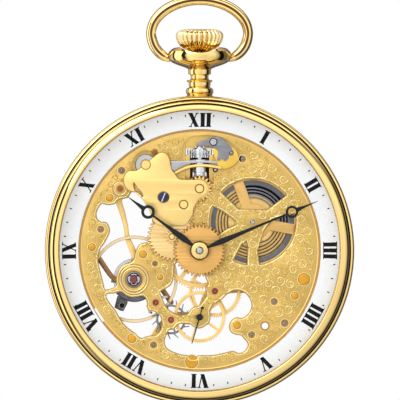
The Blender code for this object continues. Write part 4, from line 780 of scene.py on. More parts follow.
def build_mainplate():
    openings = [spline(points, 3) for points in OPENINGS] + window_loops()
    openings.append([(-2.15, 10.12), (2.15, 10.12), (2.15, 15.85), (-2.15, 15.85)])
    holes = [circle(r, at, 32) for at, r in THROUGH]
    bores = [(CENTRE, 0.6), (FOURTH, 0.3), (THIRD, 0.6), (ESCAPE, 0.6), (FORK, 0.45), (BALANCE, 1.28)]
    holes += [circle(r, at, 32) for at, r in bores] + [circle(r + 0.13, at, 28) for at, r in STEEL_SCREWS]
    outer = circle(17.98, steps=200)
    body = piece("mainplate_engraved", plate([outer] + openings + holes, (FACE, 0.0), 0.09), PLATE_GOLD, "case",
                 "engraved_gold", "mainplate")
    pocket = spline(KEYLESS_POCKET, 3)
    carve(body, rod(BARREL, 8.35, (1, -1.1), 96),
          rod(CENTRE, 1.75, (1, -0.25), 48),
          plate([pocket], (-3, POCKET_FLOOR), 0.0005, rounds=0),
          lathe([(0, 20), (0.65, 20), (0.65, 9.7), (0, 9.7)], CENTRE, 32, "Z"))
    # the rim takes the paler cover gold so that its flat, shaded by the dial, looks lit: painted light
    edge = [(17.85, 0.0), (17.85, -1.4), (17.95, -1.5), (18.08, -1.52), (18.2, -1.42), (18.3, -1.3), (18.8, -1.3),
            (18.8, 0.0)]
    rim_ring = piece("mainplate_rim", lathe(edge, steps=200), COVER_GOLD, "case", "engraved_gold", sharp=50)
    # a dark ring at the dial's inner edge: painted shadow of the dial
    piece("dial_inner_line", hoop(CENTRE, (18.34, 18.46), (-1.29, -1.34), 200), GROOVE_AND_SHADE_GOLD, "case", "engraved_gold")
    start, end = math.radians(209), math.radians(216.5)
    gap = arc(18.44, end, start, 8) + arc(18.02, start, end, 8)
    carve(rim_ring, plate([gap], (-3, 1), 0.0005, rounds=0))
    # a dark band just inside every opening's edge: painted shade on the openings' walls
    inner = circle(17.8, steps=120)
    line = piece("mainplate_edge_line", plate([inner] + openings + [circle(r, at, 24) for at, r in THROUGH],
                                              (-1.44, -1.16), 0.01, rounds=0, grow=0.07),
                 GROOVE_AND_SHADE_GOLD, "case", "engraved_gold")
    carve(line, plate([pocket], (-3, POCKET_FLOOR), 0.0005, rounds=0, grow=0.3))
    collars, screws, gaps, rings = [], [], [], []
    for at, r in STEEL_SCREWS:
        gaps.append(lathe([(0, -0.9), (r + 0.14, -0.9), (r + 0.14, -1.44), (r + 0.06, -1.36), (0, -1.3)], at, 28))
        head = [(0, -1.2), (r - 0.1, -1.2), (r - 0.1, -1.46), (r - 0.16, -1.52), (0, -1.53)]
        screws.append(joined(lathe(head, at, 24), dome(at, r * 0.5, FACE, 0.12)))
        collars.append(bead(at, (r + 0.26, r + 0.23, r + 0.15, r + 0.13), -1.45, -1.54))
    for at, r in GOLD_POCKETS:
        collars.append(bead(at, (r + 0.24, r + 0.2, r + 0.12, r + 0.1), -1.45, -1.54))
        rings.append(bead(at, (r + 0.12, r + 0.1, r, r - 0.02), -1.45, -1.52))
    for at, r in COPPER_POCKETS + THROUGH:
        rings.append(bead(at, (r + 0.12, r + 0.1, r, r - 0.01), -1.45, -1.53))
    # near-black plugs in the screws' countersinks, seen as rings round the heads: painted shade
    piece("plate_screw_gaps", joined(*gaps), PAINTED_SHADE, "case", "steel")
    piece("plate_screws", joined(*screws), GREY_STEEL, "case", "steel")
    piece("plate_collars", joined(*collars), RELIEF_GOLD, "case", "engraved_gold")
    piece("plate_pin_rings", joined(*rings), GROOVE_AND_SHADE_GOLD, "case", "engraved_gold")
    gold = [dome(at, r, FACE, 0.05, 3, 24) for at, r in GOLD_POCKETS]
    piece("plate_gold_pins", joined(*gold), POCKET_GOLD, "case", "engraved_gold")
    copper = [dome(at, r, -1.49, 0.04, 3, 24) for at, r in COPPER_POCKETS]
    piece("plate_copper_pins", joined(*copper), COPPER, "case", "engraved_gold")
    # the studs that the setting wheels, the minute wheel and the yoke turn on, and the washer under the yoke
    studs = [stud(INTERMEDIATE, 0.6, -0.9, -2.33, edge=0.05), stud(SETTING, 0.6, -0.9, -2.33, edge=0.05),
             rod(YOKE_PIVOT, 0.68, (-0.9, -1.95), 32), stud(YOKE_PIVOT, 0.7, -2.2, -2.43),
             stud(MINUTE, 0.42, -0.9, -2.77, 24)]
    piece("plate_studs", joined(*studs), COVER_GOLD, "case", "engraved_gold")
    piece("yoke_washer", lathe([(0.7, -1.5), (1.6, -1.5), (1.62, -1.72), (1.5, -1.8), (0.8, -1.8), (0.7, -1.74)],
                               YOKE_PIVOT, 48), STEEL, "case", "steel")
    return openings, pocket


# ---- engraving ----
def room(outer, holes, xs, zs):
    """For a grid of places: how far each is inside the outer loop and outside every hole, negative elsewhere."""
    x, z = np.meshgrid(xs, zs, indexing="ij")
    nearest, good = np.full(x.shape, 1e9), None
    for loop in [outer] + holes:
        odd = np.zeros(x.shape, bool)
        for (px, pz), (qx, qz) in zip(loop, loop[1:] + loop[:1]):
            dx, dz = qx - px, qz - pz
            t = np.clip(((x - px) * dx + (z - pz) * dz) / max(dx * dx + dz * dz, 1e-12), 0, 1)
            nearest = np.minimum(nearest, (px + t * dx - x) ** 2 + (pz + t * dz - z) ** 2)
            if dz:
                odd ^= ((pz > z) != (qz > z)) & (x < dx * (z - pz) / dz + px)
        good = odd if good is None else good & ~odd
    return np.where(good, np.sqrt(nearest), -1.0)


def engraving(outer, holes, base, height, seed, box, radii=(0.80, 0.68, 0.56, 0.46, 0.36, 0.26), step=0.12):
    """Scrolls packed over a plate: volutes of falling size, each curling out of a neighbour, with small leaves."""
    draw = random.Random(seed)
    xs, zs = np.arange(box[0], box[1], step), np.arange(box[2], box[3], step)
    free = room(outer, holes, xs, zs) - 0.05
    grid_x, grid_z = np.meshgrid(xs, zs, indexing="ij")
    placed, scrolls = [], []
    for radius in radii:
        while True:
            spots = np.argwhere(free >= radius)
            if not len(spots):
                break
            snug = free[spots[:, 0], spots[:, 1]]
            tight = spots[snug <= snug.min() + 0.04]
            i, k = tight[draw.randrange(len(tight))]
            x, z = float(xs[i]), float(zs[k])
            near = min(placed, key=lambda p: math.hypot(p[0] - x, p[1] - z) - p[2], default=None)
            start, way = draw.uniform(0, TURN), draw.choice((-1, 1))
            if near and math.hypot(near[0] - x, near[1] - z) - near[2] < radius + 0.25:
                start, way = math.atan2(near[1] - z, near[0] - x), -near[3]
            placed.append((x, z, radius, way, start))
            free = np.minimum(free, np.hypot(grid_x - x, grid_z - z) - radius * 0.9)
    for x, z, radius, way, start in placed:
        turns = 1.5 if radius > 0.6 else 1.15 if radius > 0.4 else 0.8
        steps = max(8, int(24 * turns * max(radius, 0.5)))
        path, widths = [], []
        for i in range(steps + 1):
            t = i / steps
            path.append(polar(radius * (1 - 0.78 * t ** 0.85), start + way * TURN * turns * t, (x, z)))
            widths.append((0.05 + 0.075 * radius) * (0.4 + 0.6 * math.sin(math.pi * min(t * 1.1 + 0.08, 1)) ** 0.6))
        scrolls.append(ridge(path, widths, base, height))
        scrolls.append(dome(path[-1], 0.08 + 0.09 * radius, base, height * 1.15, 2, 8))
        if radius > 0.45:
            for k in range(2):
                a = start + way * (2.2 + 2.1 * k)
                root, bearing = polar(radius * 1.02, a, (x, z)), a + way * 0.9
                leaf = [root]
                for _ in range(4):
                    leaf.append(polar(radius * 0.1, bearing, leaf[-1]))
                    bearing += way * 0.45
                scrolls.append(ridge(leaf, [0.04, 0.075, 0.08, 0.06, 0.01], base, height * 0.8))
    return joined(*scrolls)


def inset(loop, by):
    """A loop moved sideways by so much: outwards when it runs anticlockwise and `by` is positive."""
    area = sum(a[0] * b[1] - b[0] * a[1] for a, b in zip(loop, loop[1:] + loop[:1]))
    out = []
    for i, (x, z) in enumerate(loop):
        (ax, az), (bx, bz) = loop[i - 1], loop[(i + 1) % len(loop)]
        heading = math.atan2(bz - az, bx - ax) - math.copysign(math.pi / 2, area)
        out.append(polar(by, heading, (x, z)))
    return out


def build_engraving(openings, pocket):
    outer = circle(17.6, steps=120)
    plain = [circle(r + 0.45, at, 20) for at, r in STEEL_SCREWS + GOLD_POCKETS + COPPER_POCKETS + THROUGH]
    plain += [circle(r, at, steps) for r, at, steps in (
        (0.75, THIRD, 20), (0.75, ESCAPE, 20), (0.75, FORK, 20), (1.2, FOURTH, 24), (2.75, BALANCE, 40),
        (3.9, CENTRE, 40), (3.5, MINUTE, 40), (0.9, BARREL, 20))] + [spline(COVER, 2)]
    holes = openings + [pocket] + plain
    solid = engraving(outer, holes, FACE, 0.13, 7, (-17.6, 17.6, -17.6, 17.6))
    piece("mainplate_scrolls", solid, RELIEF_GOLD, "case", "engraved_gold", sharp=60)
    rims = []
    for loop in openings[:8]:
        edge = inset(loop, 0.2)
        rims.append(ridge(edge + [edge[0]], [0.1] * (len(edge) + 1), FACE, 0.06))
    pin = COPPER_POCKETS[0][0]
    boss = [bead(at, (r + 0.1, r + 0.05, r - 0.05, r - 0.1), -1.48, -1.56, 64)
            for r, at in ((2.14, BALANCE), (1.72, BALANCE), (0.98, pin))]
    lines = [bead(at, (r + 0.06, r + 0.05, r - 0.05, r - 0.06), -1.45, -1.515, 64)
             for r, at in ((2.32, BALANCE), (1.9, BALANCE), (1.32, BALANCE), (1.14, pin))]
    piece("mainplate_groove_lines", joined(*lines), GROOVE_AND_SHADE_GOLD, "case", "engraved_gold")
    piece("mainplate_borders", joined(*boss, *rims), RELIEF_GOLD, "case", "engraved_gold", sharp=60)


# ---- jewels ----
def build_jewels():
    jewels, settings = [], []
    stone = [(0.1, -1.2), (0.1, -1.42), (0.16, -1.5), (0.42, -1.5), (0.46, -1.44), (0.46, -1.2)]
    collar = [(0.46, -1.3), (0.46, -1.5), (0.5, -1.55), (0.6, -1.55), (0.66, -1.5), (0.66, -1.3)]
    for at in (THIRD, ESCAPE, FORK):
        jewels.append(lathe(stone, at, 28))
        settings.append(lathe(collar, at, 28))
    piece("front_jewels", joined(*jewels), RUBY, "case", "ruby", "third_jewel", "escape_jewel")
    piece("front_jewel_settings", joined(*settings), PLAIN_GOLD, "case", "engraved_gold")
    setting = [(0, -0.2), (1.2, -0.2), (1.2, -1.5), (1.17, -1.58), (1.06, -1.6), (0.98, -1.54), (0.96, -1.42),
               (0, -1.42)]
    piece("balance_shock_setting", lathe(setting, BALANCE, 48), GREY_STEEL, "case", "steel", "balance_setting")
    # a near-black disc in the shock setting's recess: painted shade
    piece("balance_shock_well", rod(BALANCE, 0.97, (-1.38, -1.45), 32), PAINTED_SHADE, "case", "steel")
    wings = [spline([(side * 0.52, 0.5), (side * 0.86, 0.3), (side * 0.9, -0.1), (side * 0.62, -0.55),
                     (side * 0.55, 0)]) for side in (-1, 1)]
    under = ribbon([(-0.5, -0.35), (-0.3, -0.72), (0, -0.8), (0.3, -0.72), (0.5, -0.35)], [0.06] * 5)
    over = ribbon([(-0.4, 0.66), (0, 0.8), (0.4, 0.66)], [0.07] * 3)
    springs = [plate([moved(loop, BALANCE)], (-1.58, -1.44), 0.04) for loop in wings + [under, over]]
    piece("balance_shock_springs", joined(*springs), STEEL, "case", "steel")

    def rounder(value):
        return math.copysign(abs(value) ** 0.6, value)

    oval = [(0.46 * rounder(x), 0.62 * rounder(z)) for x, z in circle(1, steps=32)]
    piece("balance_cap_jewel", plate([oval], (-1.64, -1.4), 0.08, BALANCE, 2), RUBY, "case", "ruby")


# ---- barrel ----
def build_barrel():
    drum = lathe([(0.72, 0.6), (7.3, 0.6), (7.35, 0.55), (7.35, -1.0), (7.3, -1.05), (6.95, -1.05), (6.9, -1.0),
                  (6.9, 0.4), (0.72, 0.4)], BARREL, 120)
    ring = plate([wheel(BARREL, CENTRE, 78, 12, 0.0), circle(7.2, BARREL, 90)], (0.1, 0.5), 0.04)
    piece("barrel_drum_body", joined(drum, ring), WHEEL_GOLD, "barrel", "satin_gold", "barrel_drum")
    lid_windows = [moved(loop, BARREL) for loop in spoke_windows(3, 2.75, 6.35, 0.8, math.radians(110), 24)]
    piece("barrel_lid_cross", plate([circle(6.85, BARREL, 90)] + lid_windows + [circle(0.62, BARREL, 24)],
                                    levels("barrel_lid"), 0.05), LID_GOLD, "barrel", "satin_gold", "barrel_lid")
    piece("barrel_hub_ring", bead(BARREL, (1.4, 1.5, 1.75, 1.85), -1.01, -1.06, 48), LID_GOLD, "barrel", "satin_gold")
    front, rear = levels("mainspring")
    packed = []
    for k in range(7):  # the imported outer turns, edge on
        r = 6.78 - 0.17 * k
        packed.append(lathe([(r - 0.15, rear), (r - 0.15, front + 0.02), (r - 0.12, front), (r - 0.03, front),
                             (r, front + 0.02), (r, rear)], BARREL, 120))
    piece("mainspring_packed", joined(*packed), SPRING_STEEL, "barrel", "grey_steel", "mainspring")
    turns, inner, outer, hub, steps, last = 4.2, 3.55, 5.52, 1.6, 260, 50
    first = math.radians(20)
    spiral = [polar(outer - (outer - inner) * i / steps, first - TURN * turns * i / steps, BARREL)
              for i in range(steps + 1)]
    spiral += [polar(inner - (inner - hub) * (i / last) ** 0.8, first - TURN * (turns + 0.85 * i / last), BARREL)
               for i in range(1, last + 1)]
    runs = {True: [], False: []}
    # painted light and shade: the turns on the upper right take the spring steel, the rest its dark copy
    for i, (x, z) in enumerate(spiral):  # the coils catch the light on the upper right and lie in shade elsewhere
        lit = -0.15 < math.atan2(z - BARREL[1], x - BARREL[0]) < 2.0
        if i == 0 or lit != was:
            runs[lit].append([spiral[max(i - 1, 0)]])
        runs[lit][-1].append((x, z))
        was = lit
    for lit, mat, half in ((True, SPRING_STEEL, 0.105), (False, SPRING_SHADE, 0.075)):
        bands = [plate([ribbon(run, [half] * len(run), 3, 1)], (front, rear), 0.03)
                 for run in runs[lit] if len(run) > 3]
        piece("mainspring_turns_" + ("lit" if lit else "shaded"), joined(*bands), mat, "barrel", "grey_steel")
    start, end = math.radians(-9), math.radians(115)
    shade = arc(5.75, start, end, 40, BARREL) + arc(4.15, end, start, 30, BARREL)
    piece("mainspring_shade", plate([shade], (0.28, 0.34), 0.01), PAINTED_SHADE, "barrel", "grey_steel")
    arbor = [(0, -1.62), (0.24, -1.62), (0.36, -1.54), (0.4, -1.4), (0.4, -0.78), (1.5, -0.78), (1.5, 0.3),
             (0.6, 0.3), (0.6, 2.3), (0, 2.3)]
    piece("barrel_arbor_turned", lathe(arbor, BARREL, 40), STEEL, "ratchet", "steel", "barrel_arbor")


# ---- wheels ----
def phase(p, q, teeth_p, teeth_q, first):
    """The angle of a tooth at q that meshes with the gear at p, whose tooth is at `first`."""
    line = math.atan2(q[1] - p[1], q[0] - p[0])
    return line + math.pi - teeth_p / teeth_q * (first - line) + math.pi / teeth_q


def gear(at, teeth, mod, first):
    """A wheel's outline at `at`, with teeth of one module."""
    return moved(toothed(teeth, mod * (teeth / 2 + 1.05), mod * (teeth / 2 - 1.3), first), at)


def wheel(at, other, teeth, pinion, first):
    """A wheel's outline at `at`, that drives a pinion of so many leaves at `other`."""
    return gear(at, teeth, 2 * math.dist(at, other) / (teeth + pinion), first)


def leaves(at, other, count, teeth, first):
    """A pinion's outline at `at`, that a wheel of so many teeth at `other` drives."""
    mod = 2 * math.dist(at, other) / (teeth + count)
    return wheel_leaves(at, count, mod * (count / 2 + 1.0), mod * (count / 2 - 1.3), first)


def wheel_leaves(at, count, tip, root, first):
    """A pinion's outline: a few rounded leaves."""
    pitch = TURN / count
    shape = [(root, -0.22), (tip * 0.94, -0.15), (tip, -0.06), (tip, 0.06), (tip * 0.94, 0.15), (root, 0.22)]
    return [polar(r, first + (k + o) * pitch, at) for k in range(count) for r, o in shape]


def crossed(at, outline, windows, level, arbor_profile, leaf_loop, leaf_level, name, body, slot, node,
            mat=WHEEL_GOLD):
    """A spoked wheel, and its arbor with the pinion on it."""
    disc = plate([outline] + [moved(w, at) for w in windows], level, 0.035)
    piece(name, disc, mat, body, slot, node)
    solids = [lathe(arbor_profile, at, 20), plate([leaf_loop], leaf_level, 0.03)]
    piece(name + "_arbor", joined(*solids), STEEL, body, "steel")


def turned_arbor(front, rear, body=(0.1, 2.2), r=0.28):
    """The profile of an arbor between its pivots."""
    return [(0, front), (0.08, front), (0.13, front + 0.08), (0.14, body[0]), (r, body[0] + 0.05),
            (r, body[1] - 0.05), (0.14, body[1]), (0.13, rear - 0.08), (0.08, rear), (0, rear)]


def build_train():
    centre_arbor = [(0, -4.3), (0.3, -4.3), (0.46, -4.22), (0.5, -4.1), (0.5, 1.3), (0.3, 1.36), (0.3, 1.85),
                    (0.24, 1.9), (0, 1.9)]
    crossed(CENTRE, wheel(CENTRE, THIRD, 80, 10, 0), spoke_windows(5, 1.5, 5.05, 0.3, math.radians(20), 16),
            (0.75, 0.95), centre_arbor, leaves(CENTRE, BARREL, 12, 78, phase(BARREL, CENTRE, 78, 12, 0)),
            (-0.05, 0.8), "centre_wheel_crossed", "centre", "satin_gold", "centre_wheel")
    crossed(THIRD, wheel(THIRD, FOURTH, 75, 10, 0), spoke_windows(5, 1.0, 3.42, 0.2, math.radians(10), 14),
            (1.25, 1.45), turned_arbor(-1.2, 2.8), leaves(THIRD, CENTRE, 10, 80, phase(CENTRE, THIRD, 80, 10, 0)),
            (0.65, 1.15), "third_wheel_crossed", "third", "satin_gold", "third_wheel")
    fourth_arbor = [(0, -2.6), (0.16, -2.6), (0.2, -2.55), (0.2, 0.1), (0.28, 0.15), (0.28, 2.2), (0.13, 2.25),
                    (0.1, 2.8), (0, 2.8)]
    crossed(FOURTH, wheel(FOURTH, ESCAPE, 80, 8, 0), spoke_windows(5, 1.0, 3.42, 0.2, math.radians(-36), 14),
            (0.3, 0.5), fourth_arbor, leaves(FOURTH, THIRD, 10, 75, phase(THIRD, FOURTH, 75, 10, 0)),
            (1.15, 1.55), "fourth_wheel_crossed", "fourth", "satin_gold", "fourth_wheel")
    pitch = TURN / 15
    club = [(2.3, -0.34), (2.55, -0.14), (2.85, 0.03), (3.05, 0.15), (2.99, 0.22), (2.8, 0.16), (2.5, 0.02),
            (2.3, -0.06)]  # one tooth, as (radius, share of the pitch)
    teeth = [polar(r, math.radians(131.4) + (k + 0.5 + offset) * pitch, ESCAPE) for k in range(15)
             for r, offset in club]
    crossed(ESCAPE, teeth, spoke_windows(4, 0.65, 1.95, 0.13, 0.3, 10), (0.9, 1.1), turned_arbor(-1.2, 2.8, r=0.25),
            leaves(ESCAPE, FOURTH, 8, 80, phase(FOURTH, ESCAPE, 80, 8, 0)), (0.2, 0.6), "escape_wheel_clubs",
            "escape", "steel", "escape_wheel", GREY_STEEL)


def build_motion_work():
    bored = circle(0.6, steps=24)
    cannon = plate([leaves(CENTRE, MINUTE, 12, 36, 0), bored], (-2.15, -1.62), 0.03)
    pipe = lathe([(0.56, -3.8), (0.8, -3.8), (0.86, -3.74), (0.86, -1.62), (0.56, -1.62)], CENTRE, 32)
    piece("cannon_pinion_turned", joined(cannon, pipe), STEEL, "centre", "steel", "cannon_pinion")
    first = phase(CENTRE, MINUTE, 12, 36, 0)
    mod = 2 * math.dist(CENTRE, MINUTE) / (12 + 36)
    outline, bore = gear(MINUTE, 36, mod, first), circle(0.5, MINUTE, 24)
    disc = plate([outline, bore], WHEEL_LEVEL, 0.04)
    pinion = wheel_leaves(MINUTE, 10, 1.1, 0.7, phase(CENTRE, MINUTE, 40, 10, 0))
    shadow("minute_wheel_shadow", [outline, circle(mod * 15, MINUTE, 60)], SHADOW_LEVEL, 0.08, "minute", "satin_gold")
    piece("minute_wheel_fine", joined(disc, plate([pinion, bore], (-2.62, -1.7), 0.03)), MINUTE_GOLD, "minute",
          "satin_gold", "minute_wheel")
    hour_mod = 2 * math.dist(CENTRE, MINUTE) / (40 + 10)
    outline = gear(CENTRE, 40, hour_mod, 0)
    disc = plate([outline, circle(0.98, steps=32)], (-2.55, -2.3), 0.05)
    pipe = lathe([(0.98, -3.42), (1.2, -3.42), (1.25, -3.36), (1.25, -2.4), (0.98, -2.4)], CENTRE, 32)
    shadow("hour_wheel_shadow", [outline, circle(hour_mod * 17, steps=60)], (-2.295, -2.28), 0.08, "hour",
           "matte_hour_gold")
    piece("hour_wheel_fine", joined(disc, pipe), ROSE_GOLD, "hour", "matte_hour_gold", "hour_wheel")
    first = phase(MINUTE, INTERMEDIATE, 36, 17, first)
    for name, at, teeth, start in (("intermediate", INTERMEDIATE, 17, first),
                                   ("setting", SETTING, 18, phase(INTERMEDIATE, SETTING, 17, 18, first))):
        outline = gear(at, teeth, mod, start)
        piece(name + "_wheel_fine", plate([outline, circle(0.68, at, 24)], WHEEL_LEVEL, 0.04), WHEEL_GOLD, name,
              "steel", name + "_wheel")
        shadow(name + "_wheel_shadow", [outline, circle(0.9, at, 24)], SHADOW_LEVEL, 0.09, name, "steel")


# ---- hands ----
def build_hands():
    hour = [(0.9, 0.14), (1.7, 0.28), (2.8, 0.45), (3.8, 0.46), (5.2, 0.32), (6.8, 0.20), (8.4, 0.16), (9.0, 0.16)]
    tip = [(10.55, 0.42), (10.9, 0.34), (11.8, 0.21), (13.7, 0.03)]
    pomme_hand(hour, tip, 306.8, (1.45, 0.98), (9.77, 1.05, 0.60), "hour_hand", "hour")
    minute = [(1.0, 0.12), (2.0, 0.27), (3.2, 0.41), (4.5, 0.42), (6.2, 0.32), (8.2, 0.24), (11.0, 0.18),
              (14.5, 0.15)]
    tip = [(15.95, 0.38), (16.3, 0.30), (17.4, 0.17), (19.5, 0.03)]
    pomme_hand(minute, tip, 67.3, (1.3, 0.56), (15.2, 0.95, 0.60), "minute_hand", "centre")
    collar = [(0.52, -3.86), (0.52, -4.16), (0.62, -4.22), (0.95, -4.2), (1.2, -4.12), (1.32, -3.98), (1.32, -3.86)]
    piece("minute_hand_collar", lathe(collar, CENTRE, 48), CASE_GOLD, "centre", "polished_gold")
    cap = [(0, -4.0), (0.5, -4.0), (0.5, -4.3), (0.42, -4.38), (0.25, -4.42), (0, -4.44)]
    piece("centre_arbor_cap", lathe(cap, CENTRE, 32), STEEL, "centre", "steel")
    front, rear = levels("seconds_hand")
    clockwise = 196.3
    needle = [(-0.11, 0.3), (-0.06, 4.2), (0.06, 4.2), (0.11, 0.3)]
    tail = [(-0.07, -0.3), (-0.09, -1.2), (0.09, -1.2), (0.07, -0.3)]
    weight = circle(0.24, (0, -1.45), 20)
    solids = [plate([moved(swung(shape, clockwise), FOURTH)], (front, rear), bevel)
              for shape, bevel in ((needle, 0.02), (tail, 0.02), (weight, 0.03))]
    hub = [(0, rear), (0.5, rear), (0.5, front - 0.02), (0.4, front - 0.1), (0, front - 0.12)]
    piece("seconds_hand_fine", joined(*solids, lathe(hub, FOURTH, 28)), HAND_BLACK, "fourth", "black_steel",
          "seconds_hand")


def pomme_hand(path, tip, clockwise, hub, eye, node, body):
    """A hand with an eye: paths are (distance, half width) up to it and past it, the eye (distance, outer, inner)."""
    front, rear = levels(node)
    solids = []
    for part in (path, tip):
        line = spline(part, 6, closed=False)
        outline = [(-w, d) for d, w in line] + [(w, d) for d, w in line[::-1]]
        solids.append(plate([swung(outline, clockwise)], (front, rear), 0.06, rounds=2))
    eyes = [swung(circle(r, (0, eye[0]), steps), clockwise) for r, steps in ((eye[1], 40), (eye[2], 32))]
    solids.append(plate(eyes, (front - 0.03, rear), 0.07, rounds=2))
    solids.append(plate([circle(hub[0], steps=48), circle(hub[1], steps=32)], (front, rear), 0.04))
    piece(node + "_pomme", joined(*solids), HAND_BLACK, body, "black_steel", node)


# ---- keyless work ----
COVER_SCREW = (-5.5, 8.1)
YOKE = [
    (-9.3, 13.4), (-8.7, 14.05), (-7.7, 14.1), (-6.6, 13.75), (-4.6, 13.62), (-2.6, 13.62), (-1.4, 13.7),
    (0.0, 13.72), (1.2, 13.68), (2.3, 13.6), (2.95, 13.3), (2.5, 13.18), (1.6, 13.3), (0.4, 13.34), (-0.8, 13.3),
    (-2.0, 13.08), (-3.0, 12.6), (-3.8, 12.15), (-4.3, 12.0), (-5.2, 12.15), (-6.4, 12.2), (-8.0, 12.0),
    (-9.1, 12.4),
]
LEVER = [
    (-0.42, 16.25), (-0.2, 16.5), (0.4, 16.68), (0.92, 16.85), (2.03, 17.2), (3.14, 17.2), (4.25, 16.32),
    (5.05, 15.3), (5.12, 14.95), (4.5, 14.5), (4.38, 13.98), (3.86, 13.56), (3.5, 13.85), (3.14, 13.8),
    (2.92, 13.6), (2.64, 13.9), (2.8, 14.95), (2.2, 15.62), (1.34, 15.84), (0.0, 15.82), (-0.4, 15.98),
]
JUMPER = [(1.95, 15.5), (3.0, 15.6), (4.6, 15.75), (5.5, 15.2), (5.9, 14.3), (5.8, 13.55), (4.95, 12.8),
          (3.85, 12.4), (3.1, 12.6), (2.75, 12.95), (2.62, 13.6), (2.3, 14.2)]


def build_keyless():
    cover, cover_slot = spline(COVER, 3), spline(COVER_SLOT, 3)
    holes = [circle(0.66, INTERMEDIATE, 32), circle(0.66, SETTING, 32), circle(0.5, COVER_SCREW, 24)]
    piece("keyless_cover_plate", plate([cover, cover_slot] + holes, layer("keyless_cover", 0.28), 0.05), COVER_GOLD,
          "case", "satin_gold", "keyless_cover")
    shadow("keyless_cover_shadow", [cover, cover_slot], (-1.965, -1.87), 0.1, "case", "satin_gold", 0.01)
    marks = [bead(at, (r + 0.09, r + 0.08, r, r - 0.02), -2.2, -2.27, 32)
             for r, at in ((0.72, YOKE_PIVOT), (0.66, INTERMEDIATE), (0.66, SETTING), (0.84, COVER_SCREW))]
    piece("keyless_cover_stud_lines", joined(*marks), GROOVE_AND_SHADE_GOLD, "case", "satin_gold")
    piece("keyless_cover_foot", hoop(COVER_SCREW, (0.52, 0.95), (-2.1, -1.52), 28), COVER_GOLD, "case", "satin_gold")
    lean = 68
    driven("cover_screw_blue", COVER_SCREW, (0.8, -2.58, -2.28, lean), (0.36, (-2.3, -0.6)), BLUED, "blued_steel",
           "keyless_cover_screw")
    slot = swung([(-0.72, -0.07), (0.72, -0.07), (0.72, 0.07), (-0.72, 0.07)], -lean)
    piece("cover_screw_slot", plate([moved(slot, COVER_SCREW)], (-2.47, -2.42), 0.005, rounds=0), BRIGHT_STEEL,
          "case", "blued_steel")
    piece("yoke_fine", plate([spline(YOKE, 3), circle(0.78, YOKE_PIVOT, 32)], levels("yoke"), 0.05), STEEL, "yoke",
          "steel", "yoke")
    lever_pin = (4.85, 14.8)
    solid = joined(plate([spline(LEVER, 3), circle(0.45, LEVER_PIVOT, 24)], (-1.88, -1.55), 0.05),
                   rod((0.16, 16.45), 0.13, (-1.7, -0.36), 12),
                   lathe([(0, -1.85), (0.24, -1.85), (0.24, -1.93), (0.14, -1.96), (0, -1.97)], lever_pin, 16))
    piece("setting_lever_fine", solid, GREY_STEEL, "lever", "grey_steel", "setting_lever")
    driven("lever_screw_fine", LEVER_PIVOT, (0.5, -2.25, -1.93, 150, 0.2), (0.36, (-1.9, -0.7)), STEEL, "steel",
           "setting_lever_screw")
    # dark rings round the lever's pin and screw: painted shade
    dark = [bead(at, (r + 0.09, r + 0.08, r, r - 0.01), y, y - 0.04)
            for r, at, y in ((0.24, lever_pin, -1.87), (0.52, LEVER_PIVOT, -1.88))]
    piece("setting_lever_pin_line", joined(*dark), PAINTED_SHADE, "lever", "grey_steel")
    spring_end = (2.4, 12.28)
    top = levels("yoke")[1] + 0.04  # just behind the yoke, that swings over it
    spring_pin = lathe([(0, -0.9), (0.3, -0.9), (0.3, top + 0.07), (0.2, top + 0.01), (0, top)], spring_end, 20)
    piece("spring_pin", spring_pin, STEEL, "case", "steel")
    # a dark ring round the spring pin's foot: painted shade
    piece("spring_pin_gap", rod(spring_end, 0.4, (-0.92, -0.99), 20), PAINTED_SHADE, "case", "steel")
    piece("jumper_fine", plate([spline(JUMPER, 3)], levels("setting_lever_jumper"), 0.05), YELLOW_GOLD, "case",
          "satin_gold", "setting_lever_jumper")
    spring = ribbon([(-4.7, 11.2), (-3.3, 12.0), (-2.0, 12.6), (-0.6, 12.9), (1.0, 12.92), (2.4, 12.72),
                     (3.2, 12.6)],
                    [0.12, 0.15, 0.17, 0.17, 0.17, 0.17, 0.2])
    piece("yoke_spring_fine", plate([spring], (-1.54, -1.45), 0.03), COVER_GOLD, "case", "steel", "yoke_spring")
    shadow("yoke_spring_shadow", [spring], (-1.449, -1.44), 0.07, "case", "steel")
    # a dark sheet behind the window where the stem lies: painted shade
    well = [(-1.5, 10.3), (1.5, 10.3), (1.5, 14.2), (-1.5, 14.2)]
    piece("stem_well", plate([well], (1.38, 1.41), 0.002, rounds=0), PAINTED_SHADE, "case", "steel")
    cheeks = [[(-2.2, 10.0), (-1.45, 10.5), (-1.45, 14.42), (-2.2, 14.42)],
              [(1.45, 10.5), (2.2, 10.0), (2.2, 14.42), (1.45, 14.42)],
              [(-2.2, 15.5), (-0.66, 15.5), (-0.66, 15.9), (-2.2, 15.9)],
              [(0.66, 15.5), (2.2, 15.5), (2.2, 15.9), (0.66, 15.9)]]
    piece("window_cheeks", joined(*[plate([c], (POCKET_FLOOR, -0.6), 0.02) for c in cheeks]), PLATE_GOLD, "case",
          "engraved_gold")


def along_stem(solid):
    """Stands a solid up, so that what was its depth runs up the stem."""
    verts, faces = solid
    return [(x, -z, y) for x, y, z in verts], faces


